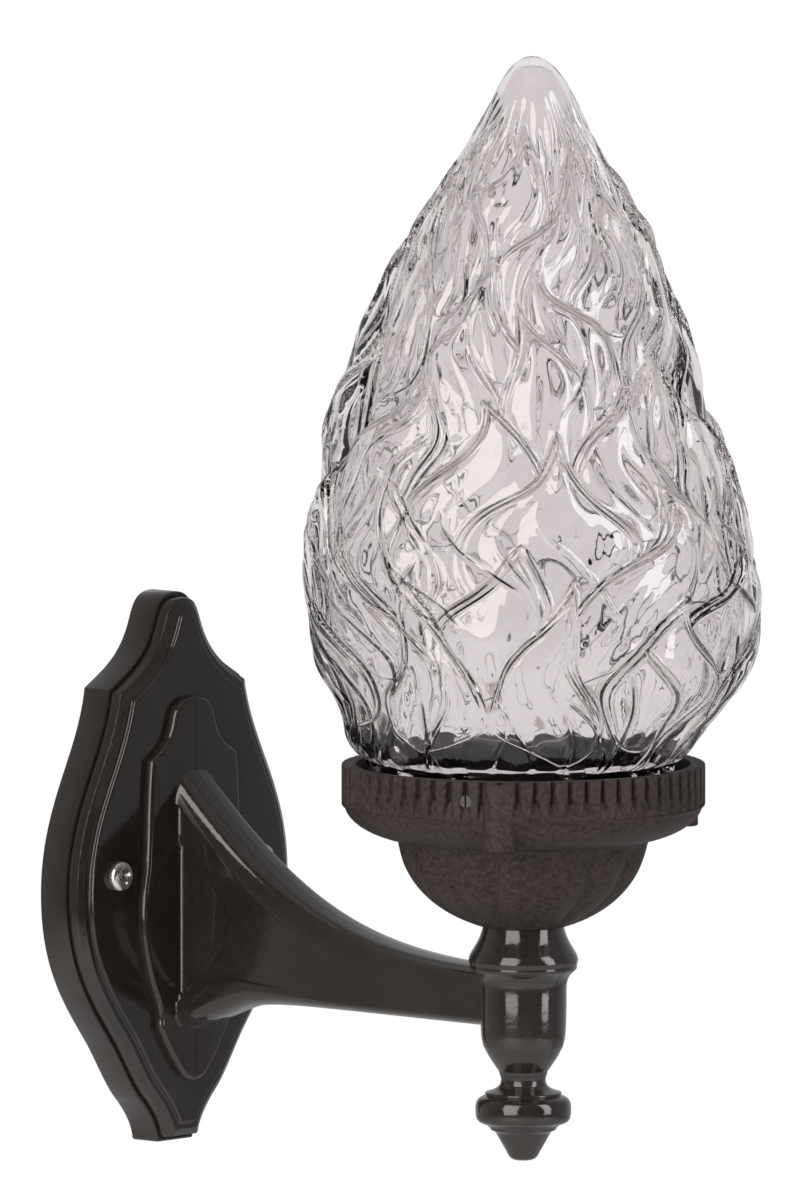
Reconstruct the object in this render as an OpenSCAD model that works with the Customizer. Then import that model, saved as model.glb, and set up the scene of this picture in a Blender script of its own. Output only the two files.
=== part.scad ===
// Torch sconce: a stepped wall plate, a hollow arm in two halves, a turned post
// with a finial, a fluted cup and a flame-shaped glass globe.
// Millimetres. The origin is on the wall, at the middle of the plate's back.
// +Z is up, X runs across the plate and the arm reaches towards -Y.

/* [Wall plate] */
// Half width at the widest place
plate_half_w = 54; // [50:1:60]
// How far the widest place lies below the middle
plate_belly_drop = 6; // [2:1:10]
// Height of the crown above the middle
plate_top = 91; // [88:1:96]
// Half width of the rounded crown
crown_half_w = 10.5; // [9:0.5:13]
// Half width at the upper shoulders
shoulder_half_w = 32.4; // [30:0.2:36]
// Height of the upper shoulders
shoulder_z = 61; // [58:1:65]
// Half width at the lower shoulders
ankle_half_w = 16; // [14:0.5:19]
// Depth of the lower shoulders below the middle
ankle_drop = 78; // [76:1:81]
// Half width of the flat bottom edge
base_half_w = 8; // [7:0.5:10]
// Depth of the flat bottom edge below the middle
plate_drop = 91; // [88:1:96]
// Depth of the back layer
plate_body_t = 11.3; // [10:0.1:14]
// Depth of the second layer
plate_step_t = 4.7; // [4:0.1:6]
// Height of the face panel above the second layer
plate_panel_t = 1.5; // [1:0.1:2.5]
// How far the second layer steps in
step_inset = 1.7; // [1:0.1:2.5]
// Width of the second layer's bevelled edge
bevel_w = 2.3; // [1.5:0.1:3]
// Width of the ledge round the face panel
ledge_w = 2.3; // [1.5:0.1:3]
// Wall of the moulded plate
plate_wall = 3; // [2.4:0.1:3.6]

/* [Wall strap] */
// Length of the steel strap
strap_len = 88; // [84:1:90]
// Height of the strap
strap_w = 18; // [16:1:20]
// Thickness of the strap
strap_t = 2; // [1.5:0.1:2.5]
// Distance between the wall slots
slot_spacing = 46; // [44:1:48]
// Width of a wall slot
slot_w = 4.6; // [4:0.1:5]
// End-to-end length of a wall slot
slot_len = 12; // [9:0.5:13]
// Distance between the plate's two screws
screw_spacing = 70; // [68:1:74]
// Radius of the plate screws' shanks
plate_screw_r = 2.45; // [2:0.05:2.5]
// Radius of the plate screws' heads
plate_head_r = 5; // [4.5:0.1:5.5]
// Height of the plate screws' heads
plate_head_h = 3.2; // [2.8:0.1:3.6]
// Height of the tapped collars on the strap
tap_h = 2.5; // [2:0.1:3]
// Radius of the hole in the rubber grommet
cable_r = 3.6; // [3:0.1:4]

/* [Foot and arm] */
// Distance from the wall to the post's axis
reach = 164; // [155:1:175]
// Thickness of the foot on the plate
foot_t = 3; // [2.5:0.1:4]
// Height of the foot's point above the middle
foot_top = 57; // [54:1:58]
// Depth of the foot's point below the middle
foot_drop = 70.5; // [68:0.5:72]
// Half width of the foot at its widest
foot_half_w = 25.5; // [24:0.5:26.5]
// Half width at the foot's upper shoulders
foot_shoulder_w = 21; // [19:0.5:23]
// Height of the foot's upper shoulders
foot_shoulder_z = 37; // [35:0.5:40]
// Half width at the foot's lower shoulders
foot_ankle_w = 17; // [16:0.5:19]
// Depth of the foot's lower shoulders
foot_ankle_drop = 52; // [50:0.5:54]
// Width of the arm
arm_w = 20; // [18:0.5:22]
// Wall of the arm
arm_wall = 2.2; // [1.8:0.1:2.6]
// Height of the arm's top where it leaves the foot
arm_root_top = 32.5; // [30:0.5:34]
// Depth of the arm's underside where it leaves the foot
arm_root_drop = 53.5; // [51:0.5:55]
// Height of the arm where it meets the post
arm_end_h = 19.4; // [16:0.2:20]
// Height of the arm's rounded top
arm_round_top = 10; // [8:0.5:12]
// Height of the arm's rounded underside
arm_round_low = 6; // [4:0.5:8]
// Depth of the arm's sunken side panel
web_sink = 1.6; // [1:0.1:2]

/* [Post and finial] */
// Depth of the post's top below the middle of the plate
post_top_drop = 8.4; // [6:0.2:11]
// Radius of the post's top
post_top_r = 13.7; // [13:0.1:15]
// Radius of the ring
ring_r = 18; // [16.5:0.1:19]
// Depth of the ring's crest below the post's top
ring_drop = 11.4; // [10.5:0.1:12.5]
// Radius of the vase
vase_r = 14.15; // [13.5:0.05:15]
// Depth of the vase's shoulder below the post's top
vase_drop = 38; // [36:0.5:40]
// Depth of the joint between the vase and the finial
joint_drop = 49; // [47.5:0.5:51]
// Radius of the waist
waist_r = 7.6; // [7.3:0.1:8.5]
// Wall of the post
post_wall = 2.6; // [2.2:0.1:3]
// Radius of the finial's disc
disc_r = 15.7; // [14.5:0.1:17]
// Height of the finial's disc
disc_h = 7; // [6:0.5:8]
// Length of the finial's cone
cone_h = 9.5; // [8:0.5:12]
// Radius of the threaded tube
tube_r = 5; // [4.9:0.1:5.3]
// Radius of the tube's bore
tube_bore_r = 3.5; // [3.3:0.1:3.7]

/* [Cup] */
// Outer radius of the fluted collar
collar_r = 59.5; // [58.5:0.5:62]
// Wall of the fluted collar
collar_wall = 4.9; // [4.5:0.1:5.3]
// Height of the collar's rim above the cup's bottom
rim_h = 53.6; // [52:0.2:56]
// Depth of the collar's straight side
collar_h = 14.2; // [13:0.2:16]
// Outer radius at the top of the bowl
bowl_r = 41.3; // [40:0.1:43]
// Height of the bowl
bowl_h = 28.7; // [27.5:0.1:29.5]
// Wall of the bowl
bowl_wall = 3; // [2.6:0.1:3.4]
// Height of the ledge under the glass above the cup's bottom
ledge_h = 35.4; // [34.5:0.1:36]
// Number of flutes round the collar
flutes = 64; // [48:1:72]
// Radius of a flute
flute_r = 1.6; // [1.2:0.1:1.9]
// Number of panels round the bowl
panels = 14; // [10:1:18]
// Radius of the half-round bosses
boss_r = 5.7; // [5:0.1:6.4]
// Direction of the first boss round the cup
boss_turn = 213; // [205:1:220]
// Radius of the set screws
set_screw_r = 2; // [1.8:0.1:2.3]
// Height of the set screws above the cup's bottom
set_screw_h = 47; // [46:0.2:48]

/* [Globe] */
// Outer radius of the glass neck
neck_r = 50; // [48.5:0.5:51]
// Thickness of the glass
glass_t = 2.6; // [2.2:0.1:3.2]
// Length of the straight neck
neck_h = 17.2; // [16.5:0.1:18]
// Radius of the globe at its widest
globe_r = 74.5; // [70:0.5:78]
// Height of the widest place above the neck's end
belly_h = 71; // [66:1:76]
// Height of the globe
globe_h = 248; // [235:1:260]
// Depth of the flame relief
relief = 5.5; // [3:0.5:6]
// Number of flame tongues in a row
tongues = 8; // [6:1:10]
// Height between rows of tongues
row_pitch = 22.6; // [20:0.2:25]
// Length of a tongue
tongue_h = 62; // [54:1:70]
// Height of the first row's foot above the neck's end
tongue_foot = 10; // [6:1:14]
// Roundness of the globe's tip
tip_round = 6.5; // [4:0.5:9]

/* [Lampholder] */
// Radius of the lampholder
holder_r = 19.5; // [19.3:0.1:21]
// Wall of the lampholder
holder_wall = 2; // [1.6:0.1:2.2]
// Height of the lampholder's cap
cap_h = 19; // [18:0.5:20]
// Height of the lampholder's sleeve
sleeve_h = 32; // [30:0.5:34]
// Radius inside the brass thread shell
thread_r = 13.5; // [13.3:0.1:13.7]

/* [Hidden] */
$fn = 96;
over = 1; // how far a cut runs past the face that it opens
play = 0.05; // radial clearance of a thread or a pin in its hole
seat_gap = 0.3; // clearance of a piece that moves away from its seat
steps = 8; // points along one stretch of an outline

// Depths from the wall
step_y = plate_body_t;
panel_y = step_y + plate_step_t;
face_y = panel_y + plate_panel_t;
foot_y = face_y + foot_t;
room_y = face_y - plate_wall; // how deep the plate's hollow is

// Heights
post_top = -post_top_drop;
ring_z = post_top - ring_drop;
vase_z = post_top - vase_drop;
joint_z = post_top - joint_drop;
arm_top_z = ring_z - 2.7;
arm_mid_z = arm_top_z - arm_end_h / 2;
rim_z = post_top + rim_h;
ledge_z = post_top + ledge_h;
set_z = post_top + set_screw_h;
cup_floor_z = post_top + bowl_wall;

function bez(a, b, c, d, first = 0) =
    [for (i = [first:steps]) let (t = i / steps, u = 1 - t)
        u * u * u * a + 3 * u * u * t * b + 3 * u * t * t * c + t * t * t * d];
function bez_at(p, t) = let (u = 1 - t)
    u * u * u * p[0] + 3 * u * u * t * p[1] + 3 * u * t * t * p[2] + t * t * t * p[3];
function smooth(t) = let (u = min(1, max(0, t))) u * u * (3 - 2 * u);
function mix(a, b, t) = a + (b - a) * t;

// An outline runs down one side, from the middle of its top to the middle of its bottom.
function direction(path, i) =
    let (d = path[min(i + 1, len(path) - 1)] - path[max(i - 1, 0)]) d / norm(d);
function inset(path, d) =
    [for (i = [0:len(path) - 1]) let (t = direction(path, i))
        path[i] + d * [t[1], -t[0]]];
function both_sides(path) =
    concat(path, [for (i = [len(path) - 2:-1:1]) [-path[i][0], path[i][1]]]);

// Extrudes an outline from one depth to another, both measured from the wall.
module slab(outline, from, to, shrink = 0) {
    translate([0, -from, 0])
        rotate([90, 0, 0])
            linear_extrude(to - from)
                if (shrink > 0)
                    offset(delta = -shrink)
                        polygon(outline);
                else
                    polygon(outline);
}

// A round bar square to the wall, between two depths.
module peg(x, z, r, from, to) {
    translate([x, -from, z])
        rotate([90, 0, 0])
            cylinder(r = r, h = to - from);
}

module at_post() {
    translate([0, -reach, 0])
        children();
}

// ---- Wall plate ----
plate_path = concat(
    bez([0, plate_top], [crown_half_w * 0.6, plate_top],
        [crown_half_w * 0.8, plate_top - 3], [crown_half_w, plate_top - 9]),
    bez([crown_half_w, plate_top - 9], [crown_half_w + 4.5, plate_top - 21],
        [shoulder_half_w - 9.4, shoulder_z + 5.5], [shoulder_half_w, shoulder_z], 1),
    bez([shoulder_half_w, shoulder_z], [shoulder_half_w + 3.6, shoulder_z - 23],
        [plate_half_w, 30 - plate_belly_drop], [plate_half_w, -plate_belly_drop], 1),
    bez([plate_half_w, -plate_belly_drop], [plate_half_w, -plate_belly_drop - 26],
        [ankle_half_w + 25, 33 - ankle_drop], [ankle_half_w + 15, 20 - ankle_drop], 1),
    bez([ankle_half_w + 15, 20 - ankle_drop], [ankle_half_w + 8, 10 - ankle_drop],
        [ankle_half_w + 5.5, 5 - ankle_drop], [ankle_half_w, -ankle_drop], 1),
    bez([ankle_half_w, -ankle_drop], [ankle_half_w - 3.5, -ankle_drop - 4],
        [base_half_w + 4, -plate_drop], [base_half_w, -plate_drop], 1),
    [[0, -plate_drop]]
);

plate_outline = both_sides(plate_path);
bevel_h = 1; // depth of the second layer's edge step
boss_tube_r = plate_screw_r + 3;
block_x = 9; // half width of the terminal block
block_z = [18, 34]; // bottom and top of the terminal block
block_y = 3.5; // gap from the wall to the terminal block
block_mid = (block_z[0] + block_z[1]) / 2;
pole_dz = 4; // height of each pole from the block's middle
pilot_depth = 2; // how deep the block's screw goes into the plate's face
passage = [7, 1, -23]; // half width, top and bottom of the wires' way through the face
foot_screw_x = 4.4;
foot_screw_z = [13, -35];
foot_screw_r = 1.7;
foot_screw_len = 15;

module passage_cut(from, to) {
    translate([-passage[0], -to, passage[2]])
        cube([2 * passage[0], to - from, passage[1] - passage[2]]);
}

module foot_screw_places() {
    for (side = [-1, 1])
        for (z = foot_screw_z)
            translate([side * foot_screw_x, 0, z])
                children();
}

module wall_plate() {
    color("#2f2b29")
    difference() {
        union() {
            difference() {
                union() {
                    slab(plate_outline, 0, step_y);
                    slab(plate_outline, step_y - over, panel_y - bevel_h, step_inset);
                    slab(plate_outline, step_y - over, panel_y, step_inset + bevel_w);
                    slab(plate_outline, step_y - over, face_y, step_inset + bevel_w + ledge_w);
                }
                slab(plate_outline, -over, step_y - plate_wall, plate_wall);
                slab(plate_outline, 0, room_y, plate_wall + step_inset + bevel_w);
            }
            for (side = [-1, 1])
                peg(side * screw_spacing / 2, 0, boss_tube_r, strap_t + tap_h, room_y + over);
        }
        for (side = [-1, 1])
            peg(side * screw_spacing / 2, 0, plate_screw_r + 0.25, 0, face_y + over);
        foot_screw_places()
            peg(0, 0, foot_screw_r + 0.2, room_y - over, face_y + over);
        passage_cut(room_y - over, face_y + over);
        peg(0, block_mid, block_screw_r + play, room_y - over, room_y + pilot_depth);
    }
}

// ---- Strap behind the plate ----
grommet_groove_r = cable_r + 2.4;
grommet_r = cable_r + 4.4;

module slot(x) {
    slot_r = slot_w / 2;
    half = slot_len / 2 - slot_r;
    for (side = [-1, 1])
        peg(x + side * half, 0, slot_r, -over, strap_t + over);
    translate([x - half, -strap_t - over, -slot_r])
        cube([2 * half, strap_t + 2 * over, slot_w]);
}

module wall_strap() {
    end_r = strap_w / 2;
    color("#9a9c9e")
    difference() {
        union() {
            translate([end_r - strap_len / 2, -strap_t, -end_r])
                cube([strap_len - strap_w, strap_t, strap_w]);
            for (side = [-1, 1]) {
                peg(side * (strap_len / 2 - end_r), 0, end_r, 0, strap_t);
                peg(side * screw_spacing / 2, 0, plate_screw_r + 1.8, 0, strap_t + tap_h);
            }
        }
        for (side = [-1, 1]) {
            peg(side * screw_spacing / 2, 0, plate_screw_r + play, -over, strap_t + tap_h + over);
            slot(side * slot_spacing / 2);
        }
        peg(0, 0, grommet_groove_r, -over, strap_t + over);
    }
}

module cable_grommet() {
    color("#232323")
    difference() {
        union() {
            peg(0, 0, grommet_groove_r, 0, strap_t);
            peg(0, 0, grommet_r, strap_t, strap_t + 2.5);
        }
        peg(0, 0, cable_r, -over, strap_t + 2.5 + over);
    }
}

// A cross recess, cut into the face of a screw head at the given depth from the wall.
module cross_recess(r, depth, face) {
    for (turn = [0, 90])
        translate([0, -face - over + (depth + over) / 2, 0])
            rotate([0, turn, 0])
                cube([2 * r, depth + over, r * 0.36], center = true);
}

module plate_screw() {
    tip_y = 0.8;
    difference() {
        union() {
            peg(0, 0, plate_screw_r, tip_y, face_y + over);
            translate([0, -face_y, 0])
                rotate([90, 0, 0])
                    rotate_extrude()
                        polygon(concat([[0, 0], [plate_head_r, 0], [plate_head_r, plate_head_h * 0.35]],
                            bez([plate_head_r, plate_head_h * 0.35], [plate_head_r, plate_head_h * 0.8],
                                [plate_head_r * 0.7, plate_head_h], [0, plate_head_h], 1)));
        }
        cross_recess(plate_head_r * 0.55, plate_head_h * 0.6, face_y + plate_head_h);
    }
}

module plate_screws() {
    color("#b9b4ac")
    for (side = [-1, 1])
        translate([side * screw_spacing / 2, 0, 0])
            plate_screw();
}

// ---- Terminal block ----
block_screw_r = 1.4;
terminal_r = 2;
terminal_head_y = 1.2; // how far a terminal screw lies inside its well
wire_r = 1.1;

module terminal_block() {
    color("#e6e2d6")
    difference() {
        union() {
            for (pole = [-1, 1])
                translate([-block_x, -room_y, block_mid + pole * pole_dz - 3.4])
                    cube([2 * block_x, room_y - block_y - 2, 6.8]);
            translate([-block_x, -room_y, block_z[0]])
                cube([2 * block_x, 4.4, block_z[1] - block_z[0]]);
            for (pole = [-1, 1])
                for (side = [-1, 1])
                    peg(side * 5.4, block_mid + pole * pole_dz, 3, block_y, room_y);
        }
        for (pole = [-1, 1]) {
            for (side = [-1, 1])
                peg(side * 5.4, block_mid + pole * pole_dz, terminal_r + play,
                    block_y - over, wire_y + wire_r + 0.6);
            translate([-block_x - over, -wire_y, block_mid + pole * pole_dz])
                rotate([0, 90, 0])
                    cylinder(r = wire_r + 0.5, h = 2 * (block_x + over));
        }
        peg(0, block_mid, block_screw_r + 0.2, block_y - over, room_y + over);
    }
}

module terminal_screws() {
    color("#c9c4b4")
    for (pole = [-1, 1])
        for (side = [-1, 1])
            difference() {
                peg(side * 5.4, block_mid + pole * pole_dz, terminal_r,
                    block_y + terminal_head_y, wire_y - wire_r - 0.1);
                translate([side * 5.4, -block_y - terminal_head_y, block_mid + pole * pole_dz])
                    cube([2 * terminal_r + over, 1.4, 0.7], center = true);
            }
}

module block_screw() {
    head_y = block_y + 2;
    color("#c9c4b4")
    difference() {
        union() {
            peg(0, block_mid, 2.3, head_y - 1.6, head_y);
            peg(0, block_mid, block_screw_r, head_y - over, room_y + pilot_depth - 0.2);
        }
        translate([0, 0, block_mid])
            mirror([0, 1, 0])
                cross_recess(1.3, 0.9, -(head_y - 1.6));
    }
}

// ---- Arm halves, with half the foot and half the post ----
foot_path = concat(
    bez([0, foot_top], [5, foot_top], [9, foot_top - 2], [10, foot_top - 7]),
    bez([10, foot_top - 7], [12, foot_top - 16],
        [foot_shoulder_w - 4, foot_shoulder_z + 3], [foot_shoulder_w, foot_shoulder_z], 1),
    bez([foot_shoulder_w, foot_shoulder_z], [foot_shoulder_w + 2, foot_shoulder_z - 17],
        [foot_half_w - 3.5, 10], [foot_half_w - 2, 0], 1),
    bez([foot_half_w - 2, 0], [foot_half_w + 0.5, -12],
        [foot_half_w + 0.5, -20], [foot_ankle_w + 4.5, 17 - foot_ankle_drop], 1),
    bez([foot_ankle_w + 4.5, 17 - foot_ankle_drop], [foot_ankle_w + 2.5, 10 - foot_ankle_drop],
        [foot_ankle_w - 1, 8 - foot_ankle_drop], [foot_ankle_w, -foot_ankle_drop], 1),
    bez([foot_ankle_w, -foot_ankle_drop], [foot_ankle_w - 4, -foot_ankle_drop - 8],
        [8, 4.5 - foot_drop], [5, 1.5 - foot_drop], 1),
    bez([5, 1.5 - foot_drop], [3, 0.5 - foot_drop], [2, -foot_drop], [0, -foot_drop], 1)
);

// Middle of the arm's top and of its underside: depth from the wall and height.
arm_half = arm_w / 2;
arm_tip_y = reach - sqrt(vase_r * vase_r - arm_half * arm_half) + 1;
arm_span = arm_tip_y - foot_y;
arm_low_z = arm_top_z - arm_end_h;
top_line = [
    [foot_y, arm_root_top], [foot_y + arm_span * 0.33, arm_top_z + 11.5],
    [foot_y + arm_span * 0.56, arm_top_z + 1], [arm_tip_y, arm_top_z]
];
low_line = [
    [foot_y, -arm_root_drop], [foot_y + arm_span * 0.3, arm_low_z + 1.7],
    [foot_y + arm_span * 0.05, arm_low_z + 0.4], [arm_tip_y, arm_low_z]
];
arm_stations = 24;
arm_layers = 6;
hollow_half = arm_half - web_sink - arm_wall;

// Outline of the arm from the side, with its top lowered and its underside raised.
function arm_line(line, shift, run) =
    [for (i = [0:arm_stations])
        let (
            t = i / arm_stations,
            p = bez_at(line, t),
            end = i == 0 ? over : i == arm_stations ? -run : 0
        )
        [end - p[0], p[1] + shift * (1 - 0.5 * smooth((t - 0.4) / 0.45))]];
function arm_outline(down, up, run) =
    let (low = arm_line(low_line, up, run))
    concat(arm_line(top_line, -down, run), [for (i = [arm_stations:-1:0]) low[i]]);

// Extrudes a side outline across the arm, from one half width to another.
module side_slab(outline, from, to) {
    translate([from, 0, 0])
        rotate([90, 0, 90])
            linear_extrude(to - from)
                polygon(outline);
}

// The arm's rounding is made of layers, each narrower one reaching higher.
module arm_solid() {
    for (k = [1:arm_layers])
        let (
            half = arm_half * sin(90 * k / arm_layers),
            share = 1 - cos(90 * (k - 0.5) / arm_layers)
        )
        side_slab(arm_outline(arm_round_top * share, arm_round_low * share, 0), -half, half);
}

// Sunken side panel between the rounded top and the rounded underside.
panel_path = concat(
    bez([over - foot_y, 12], [-foot_y - 10, 4], [-foot_y - 23, -9], [-foot_y - 23, -18.5]),
    bez([-foot_y - 23, -18.5], [-foot_y - 22, -29], [-foot_y - 12, -35], [over - foot_y, -42], 1)
);

module arm_hollow() {
    down = arm_wall + arm_round_top * 0.21;
    up = arm_wall + arm_round_low * 0.21;
    side_slab(arm_outline(down, up, 3), -hollow_half, hollow_half);
}

post_path = [
    [post_top_r, post_top], [ring_r - 1.5, ring_z + 4.3], [ring_r, ring_z + 0.8],
    [ring_r, ring_z - 0.8], [vase_r + 0.8, ring_z - 5], [vase_r, ring_z - 8.2],
    [vase_r, vase_z], [vase_r - 1.1, vase_z - 3], [waist_r + 0.3, joint_z]
];
post_roof_z = post_top - 3.5;
post_floor_z = vase_z - 1;
tube_hole_r = tube_r + play;

module post_room() {
    rotate_extrude()
        polygon([
            [0, post_roof_z], [post_top_r - post_wall, post_roof_z], [ring_r - post_wall - 1.5, ring_z],
            [vase_r - post_wall, ring_z - 7], [vase_r - post_wall, post_floor_z + 2],
            [vase_r - post_wall - 3, post_floor_z], [0, post_floor_z]
        ]);
}

module foot_boss() {
    difference() {
        peg(0, 0, foot_screw_r + 1.6, foot_y - over, face_y + foot_screw_len);
        peg(0, 0, foot_screw_r + play, face_y, face_y + foot_screw_len + over);
    }
}

// The half on the +X side; the other is its mirror image.
module arm_half_shell() {
    difference() {
        union() {
            arm_solid();
            slab(both_sides(foot_path), face_y, foot_y);
            at_post()
                rotate_extrude()
                    polygon(concat([[0, post_top]], post_path, [[0, joint_z]]));
        }
        arm_hollow();
        side_slab(panel_path, arm_half - web_sink, arm_half + over);
        at_post() {
            post_room();
            translate([0, 0, joint_z - over])
                cylinder(r = tube_hole_r, h = post_top - joint_z + 2 * over);
        }
        passage_cut(face_y - over, foot_y + over);
        for (z = foot_screw_z)
            peg(foot_screw_x, z, foot_screw_r + play, face_y - over, foot_y + over);
        translate([-ring_r - arm_w, -reach - ring_r - over, -foot_drop - over])
            cube([ring_r + arm_w, reach + ring_r + 2 * over, foot_top + foot_drop + 2 * over]);
    }
    for (z = foot_screw_z)
        translate([foot_screw_x, 0, z])
            foot_boss();
}

module arm_right() {
    color("#35312f")
        arm_half_shell();
}

module arm_left() {
    color("#35312f")
        mirror([1, 0, 0])
            arm_half_shell();
}

module foot_screws() {
    head_h = 2.2;
    color("#b9b4ac")
    foot_screw_places()
        difference() {
            union() {
                peg(0, 0, 3.3, room_y - head_h, room_y);
                peg(0, 0, foot_screw_r, room_y - over, face_y + foot_screw_len - 1.5);
            }
            mirror([0, 1, 0])
                cross_recess(1.8, 1.2, -(room_y - head_h));
        }
}

// ---- Tube and finial ----
disc_z = joint_z - 8.1; // top of the disc
disc_low_z = disc_z - disc_h;
cone_z = disc_low_z - 3.6;
tube_low_z = disc_low_z + 1.5;
cap_z = post_top + 9.4; // underside of the lampholder's cap
cap_floor_z = cap_z + 5;
tube_top_z = cap_floor_z - 0.5;
tube_window_r = 3;

module threaded_tube() {
    color("#a9a69c")
    at_post()
        difference() {
            translate([0, 0, tube_low_z])
                cylinder(r = tube_r, h = tube_top_z - tube_low_z);
            translate([0, 0, tube_low_z - over])
                cylinder(r = tube_bore_r, h = tube_top_z - tube_low_z + 2 * over);
            translate([0, 0, arm_mid_z])
                rotate([-90, 0, 0])
                    cylinder(r = tube_window_r, h = tube_r + over);
        }
}

module finial() {
    color("#35312f")
    at_post()
        difference() {
            rotate_extrude()
                polygon([
                    [0, joint_z], [waist_r, joint_z], [waist_r - 0.3, joint_z - 2], [waist_r, joint_z - 3.4],
                    [waist_r + 1.4, joint_z - 4.8], [disc_r - 3.3, disc_z + 2.2], [disc_r - 3.1, disc_z + 1],
                    [disc_r - 1.4, disc_z + 0.2], [disc_r - 0.3, disc_z - 1], [disc_r, disc_z - 2.5],
                    [disc_r - 0.1, disc_z - disc_h + 1.2], [disc_r - 3.6, disc_low_z - 1.2],
                    [disc_r - 5.6, disc_low_z - 1.9], [disc_r - 6.6, cone_z + 0.5],
                    [5, cone_z + 2 - cone_h], [3.4, cone_z + 0.5 - cone_h], [0, cone_z - cone_h]
                ]);
            translate([0, 0, tube_low_z - 0.2])
                cylinder(r = tube_hole_r, h = joint_z - tube_low_z + over);
        }
}

// ---- Cup ----
collar_in_r = collar_r - collar_wall;
corner_z = rim_z - collar_h;
bowl_top_z = post_top + bowl_h;
cup_outer = concat(
    [[collar_r, rim_z], [collar_r - 0.2, (rim_z + corner_z) / 2], [collar_r - 1.5, corner_z]],
    bez([collar_r - 1.5, corner_z], [collar_r - 3, corner_z - 5.5],
        [bowl_r + 8, bowl_top_z + 1.5], [bowl_r, bowl_top_z], 1),
    bez([bowl_r, bowl_top_z], [bowl_r - 0.8, bowl_top_z - 11],
        [32, post_top + 5.5], [post_top_r, post_top], 1)
);
bowl_inner = bez([bowl_r - bowl_wall, ledge_z], [bowl_r - bowl_wall - 1, bowl_top_z - 10],
    [28, cup_floor_z + 3], [post_top_r, cup_floor_z]);
boss_centre_r = collar_r - 4;
boss_low_z = bowl_top_z + 2.2;
boss_top_z = rim_z - 0.8;
screw_lag = 10.5; // angle from a boss to the set screw beside it

module three_round() {
    for (k = [0:2])
        rotate([0, 0, boss_turn + 120 * k])
            children();
}

module cup() {
    groove_path = [for (p = cup_outer) if (p[1] <= bowl_top_z && p[1] > post_top + 1) p];
    color("#3c3937")
    at_post()
        difference() {
            union() {
                difference() {
                    rotate_extrude($fn = 180)
                        polygon(concat(cup_outer, [[0, post_top], [0, rim_z]]));
                    for (i = [0:flutes - 1])
                        rotate([0, 0, 360 * i / flutes])
                            translate([collar_r + flute_r * 0.35, 0, corner_z - 3])
                                cylinder(r = flute_r, h = collar_h + 3 + over, $fn = 24);
                    for (i = [0:panels - 1])
                        rotate([0, 0, 360 * i / panels])
                            rotate_extrude(angle = 1.6)
                                polygon(concat(inset(groove_path, 0.6),
                                    [for (j = [len(groove_path) - 1:-1:0]) groove_path[j] + [1, 0]]));
                }
                three_round()
                    translate([boss_centre_r, 0, boss_low_z])
                        cylinder(r = boss_r, h = boss_top_z - boss_low_z, $fn = 48);
            }
            rotate_extrude()
                polygon(concat([[0, rim_z + over], [collar_in_r, rim_z + over], [collar_in_r, ledge_z]],
                    bowl_inner, [[0, cup_floor_z]]));
            translate([0, 0, post_top - over])
                cylinder(r = tube_hole_r, h = bowl_wall + 2 * over);
            three_round()
                rotate([0, 0, -screw_lag])
                    translate([collar_in_r - over, 0, set_z])
                        rotate([0, 90, 0])
                            cylinder(r = set_screw_r + play, h = collar_wall + 2 * over);
        }
}

washer_t = 1.5;
nut_h = 4;
nut_z = cup_floor_z + washer_t;

module tube_washer() {
    color("#b9b4ac")
    at_post()
        translate([0, 0, cup_floor_z])
            difference() {
                cylinder(r = tube_r + 5.5, h = washer_t);
                translate([0, 0, -over])
                    cylinder(r = tube_r + 0.3, h = washer_t + 2 * over);
            }
}

module tube_nut() {
    color("#b9b4ac")
    at_post()
        translate([0, 0, nut_z])
            difference() {
                cylinder(r = tube_r + 3.6, h = nut_h, $fn = 6);
                translate([0, 0, -over])
                    cylinder(r = tube_hole_r, h = nut_h + 2 * over);
            }
}

gasket_t = 2;

module globe_gasket() {
    color("#232323")
    at_post()
        translate([0, 0, ledge_z])
            difference() {
                cylinder(r = collar_in_r - 0.6, h = gasket_t);
                translate([0, 0, -over])
                    cylinder(r = neck_r - glass_t - 1.5, h = gasket_t + 2 * over);
            }
}

// A set screw with a slot, at the rest place: its point stands just clear of the neck.
module set_screw(k) {
    tip_r = neck_r + seat_gap;
    length = collar_r - 0.6 - tip_r;
    color("#8f8a80")
    at_post()
        rotate([0, 0, boss_turn + 120 * k - screw_lag])
            translate([tip_r, 0, set_z])
                rotate([0, 90, 0])
                    difference() {
                        union() {
                            translate([0, 0, 1])
                                cylinder(r = set_screw_r, h = length - 1);
                            cylinder(r1 = set_screw_r - 0.9, r2 = set_screw_r, h = 1);
                        }
                        translate([0, 0, length])
                            cube([2 * set_screw_r + over, 0.6, 2], center = true);
                    }
}

module set_screw_a() { set_screw(0); }
module set_screw_b() { set_screw(1); }
module set_screw_c() { set_screw(2); }

// ---- Globe ----
globe_z = ledge_z + gasket_t + seat_gap;
neck_top_z = globe_z + neck_h;
belly_z = globe_z + belly_h;
tip_z = globe_z + globe_h;
tongue_rows = 6;
tongue_wide = 1.14; // width of a tongue, in pitches
tongue_turn = 224.5; // direction of the foot of one tongue
tongue_lean = 11; // turn of a tongue from its foot to its tip, in degrees
tip_fade = 14; // height over which the tip's roundness fades
mean_relief = 0.42; // share of the relief that stands inside the smooth form
lean = 2; // how far the flame wanders off the axis
lean_turn = -48.6; // direction of the wandering
around = 64;
rings = 41;
inner_share = 0.5; // how much of the relief the inner wall follows

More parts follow.
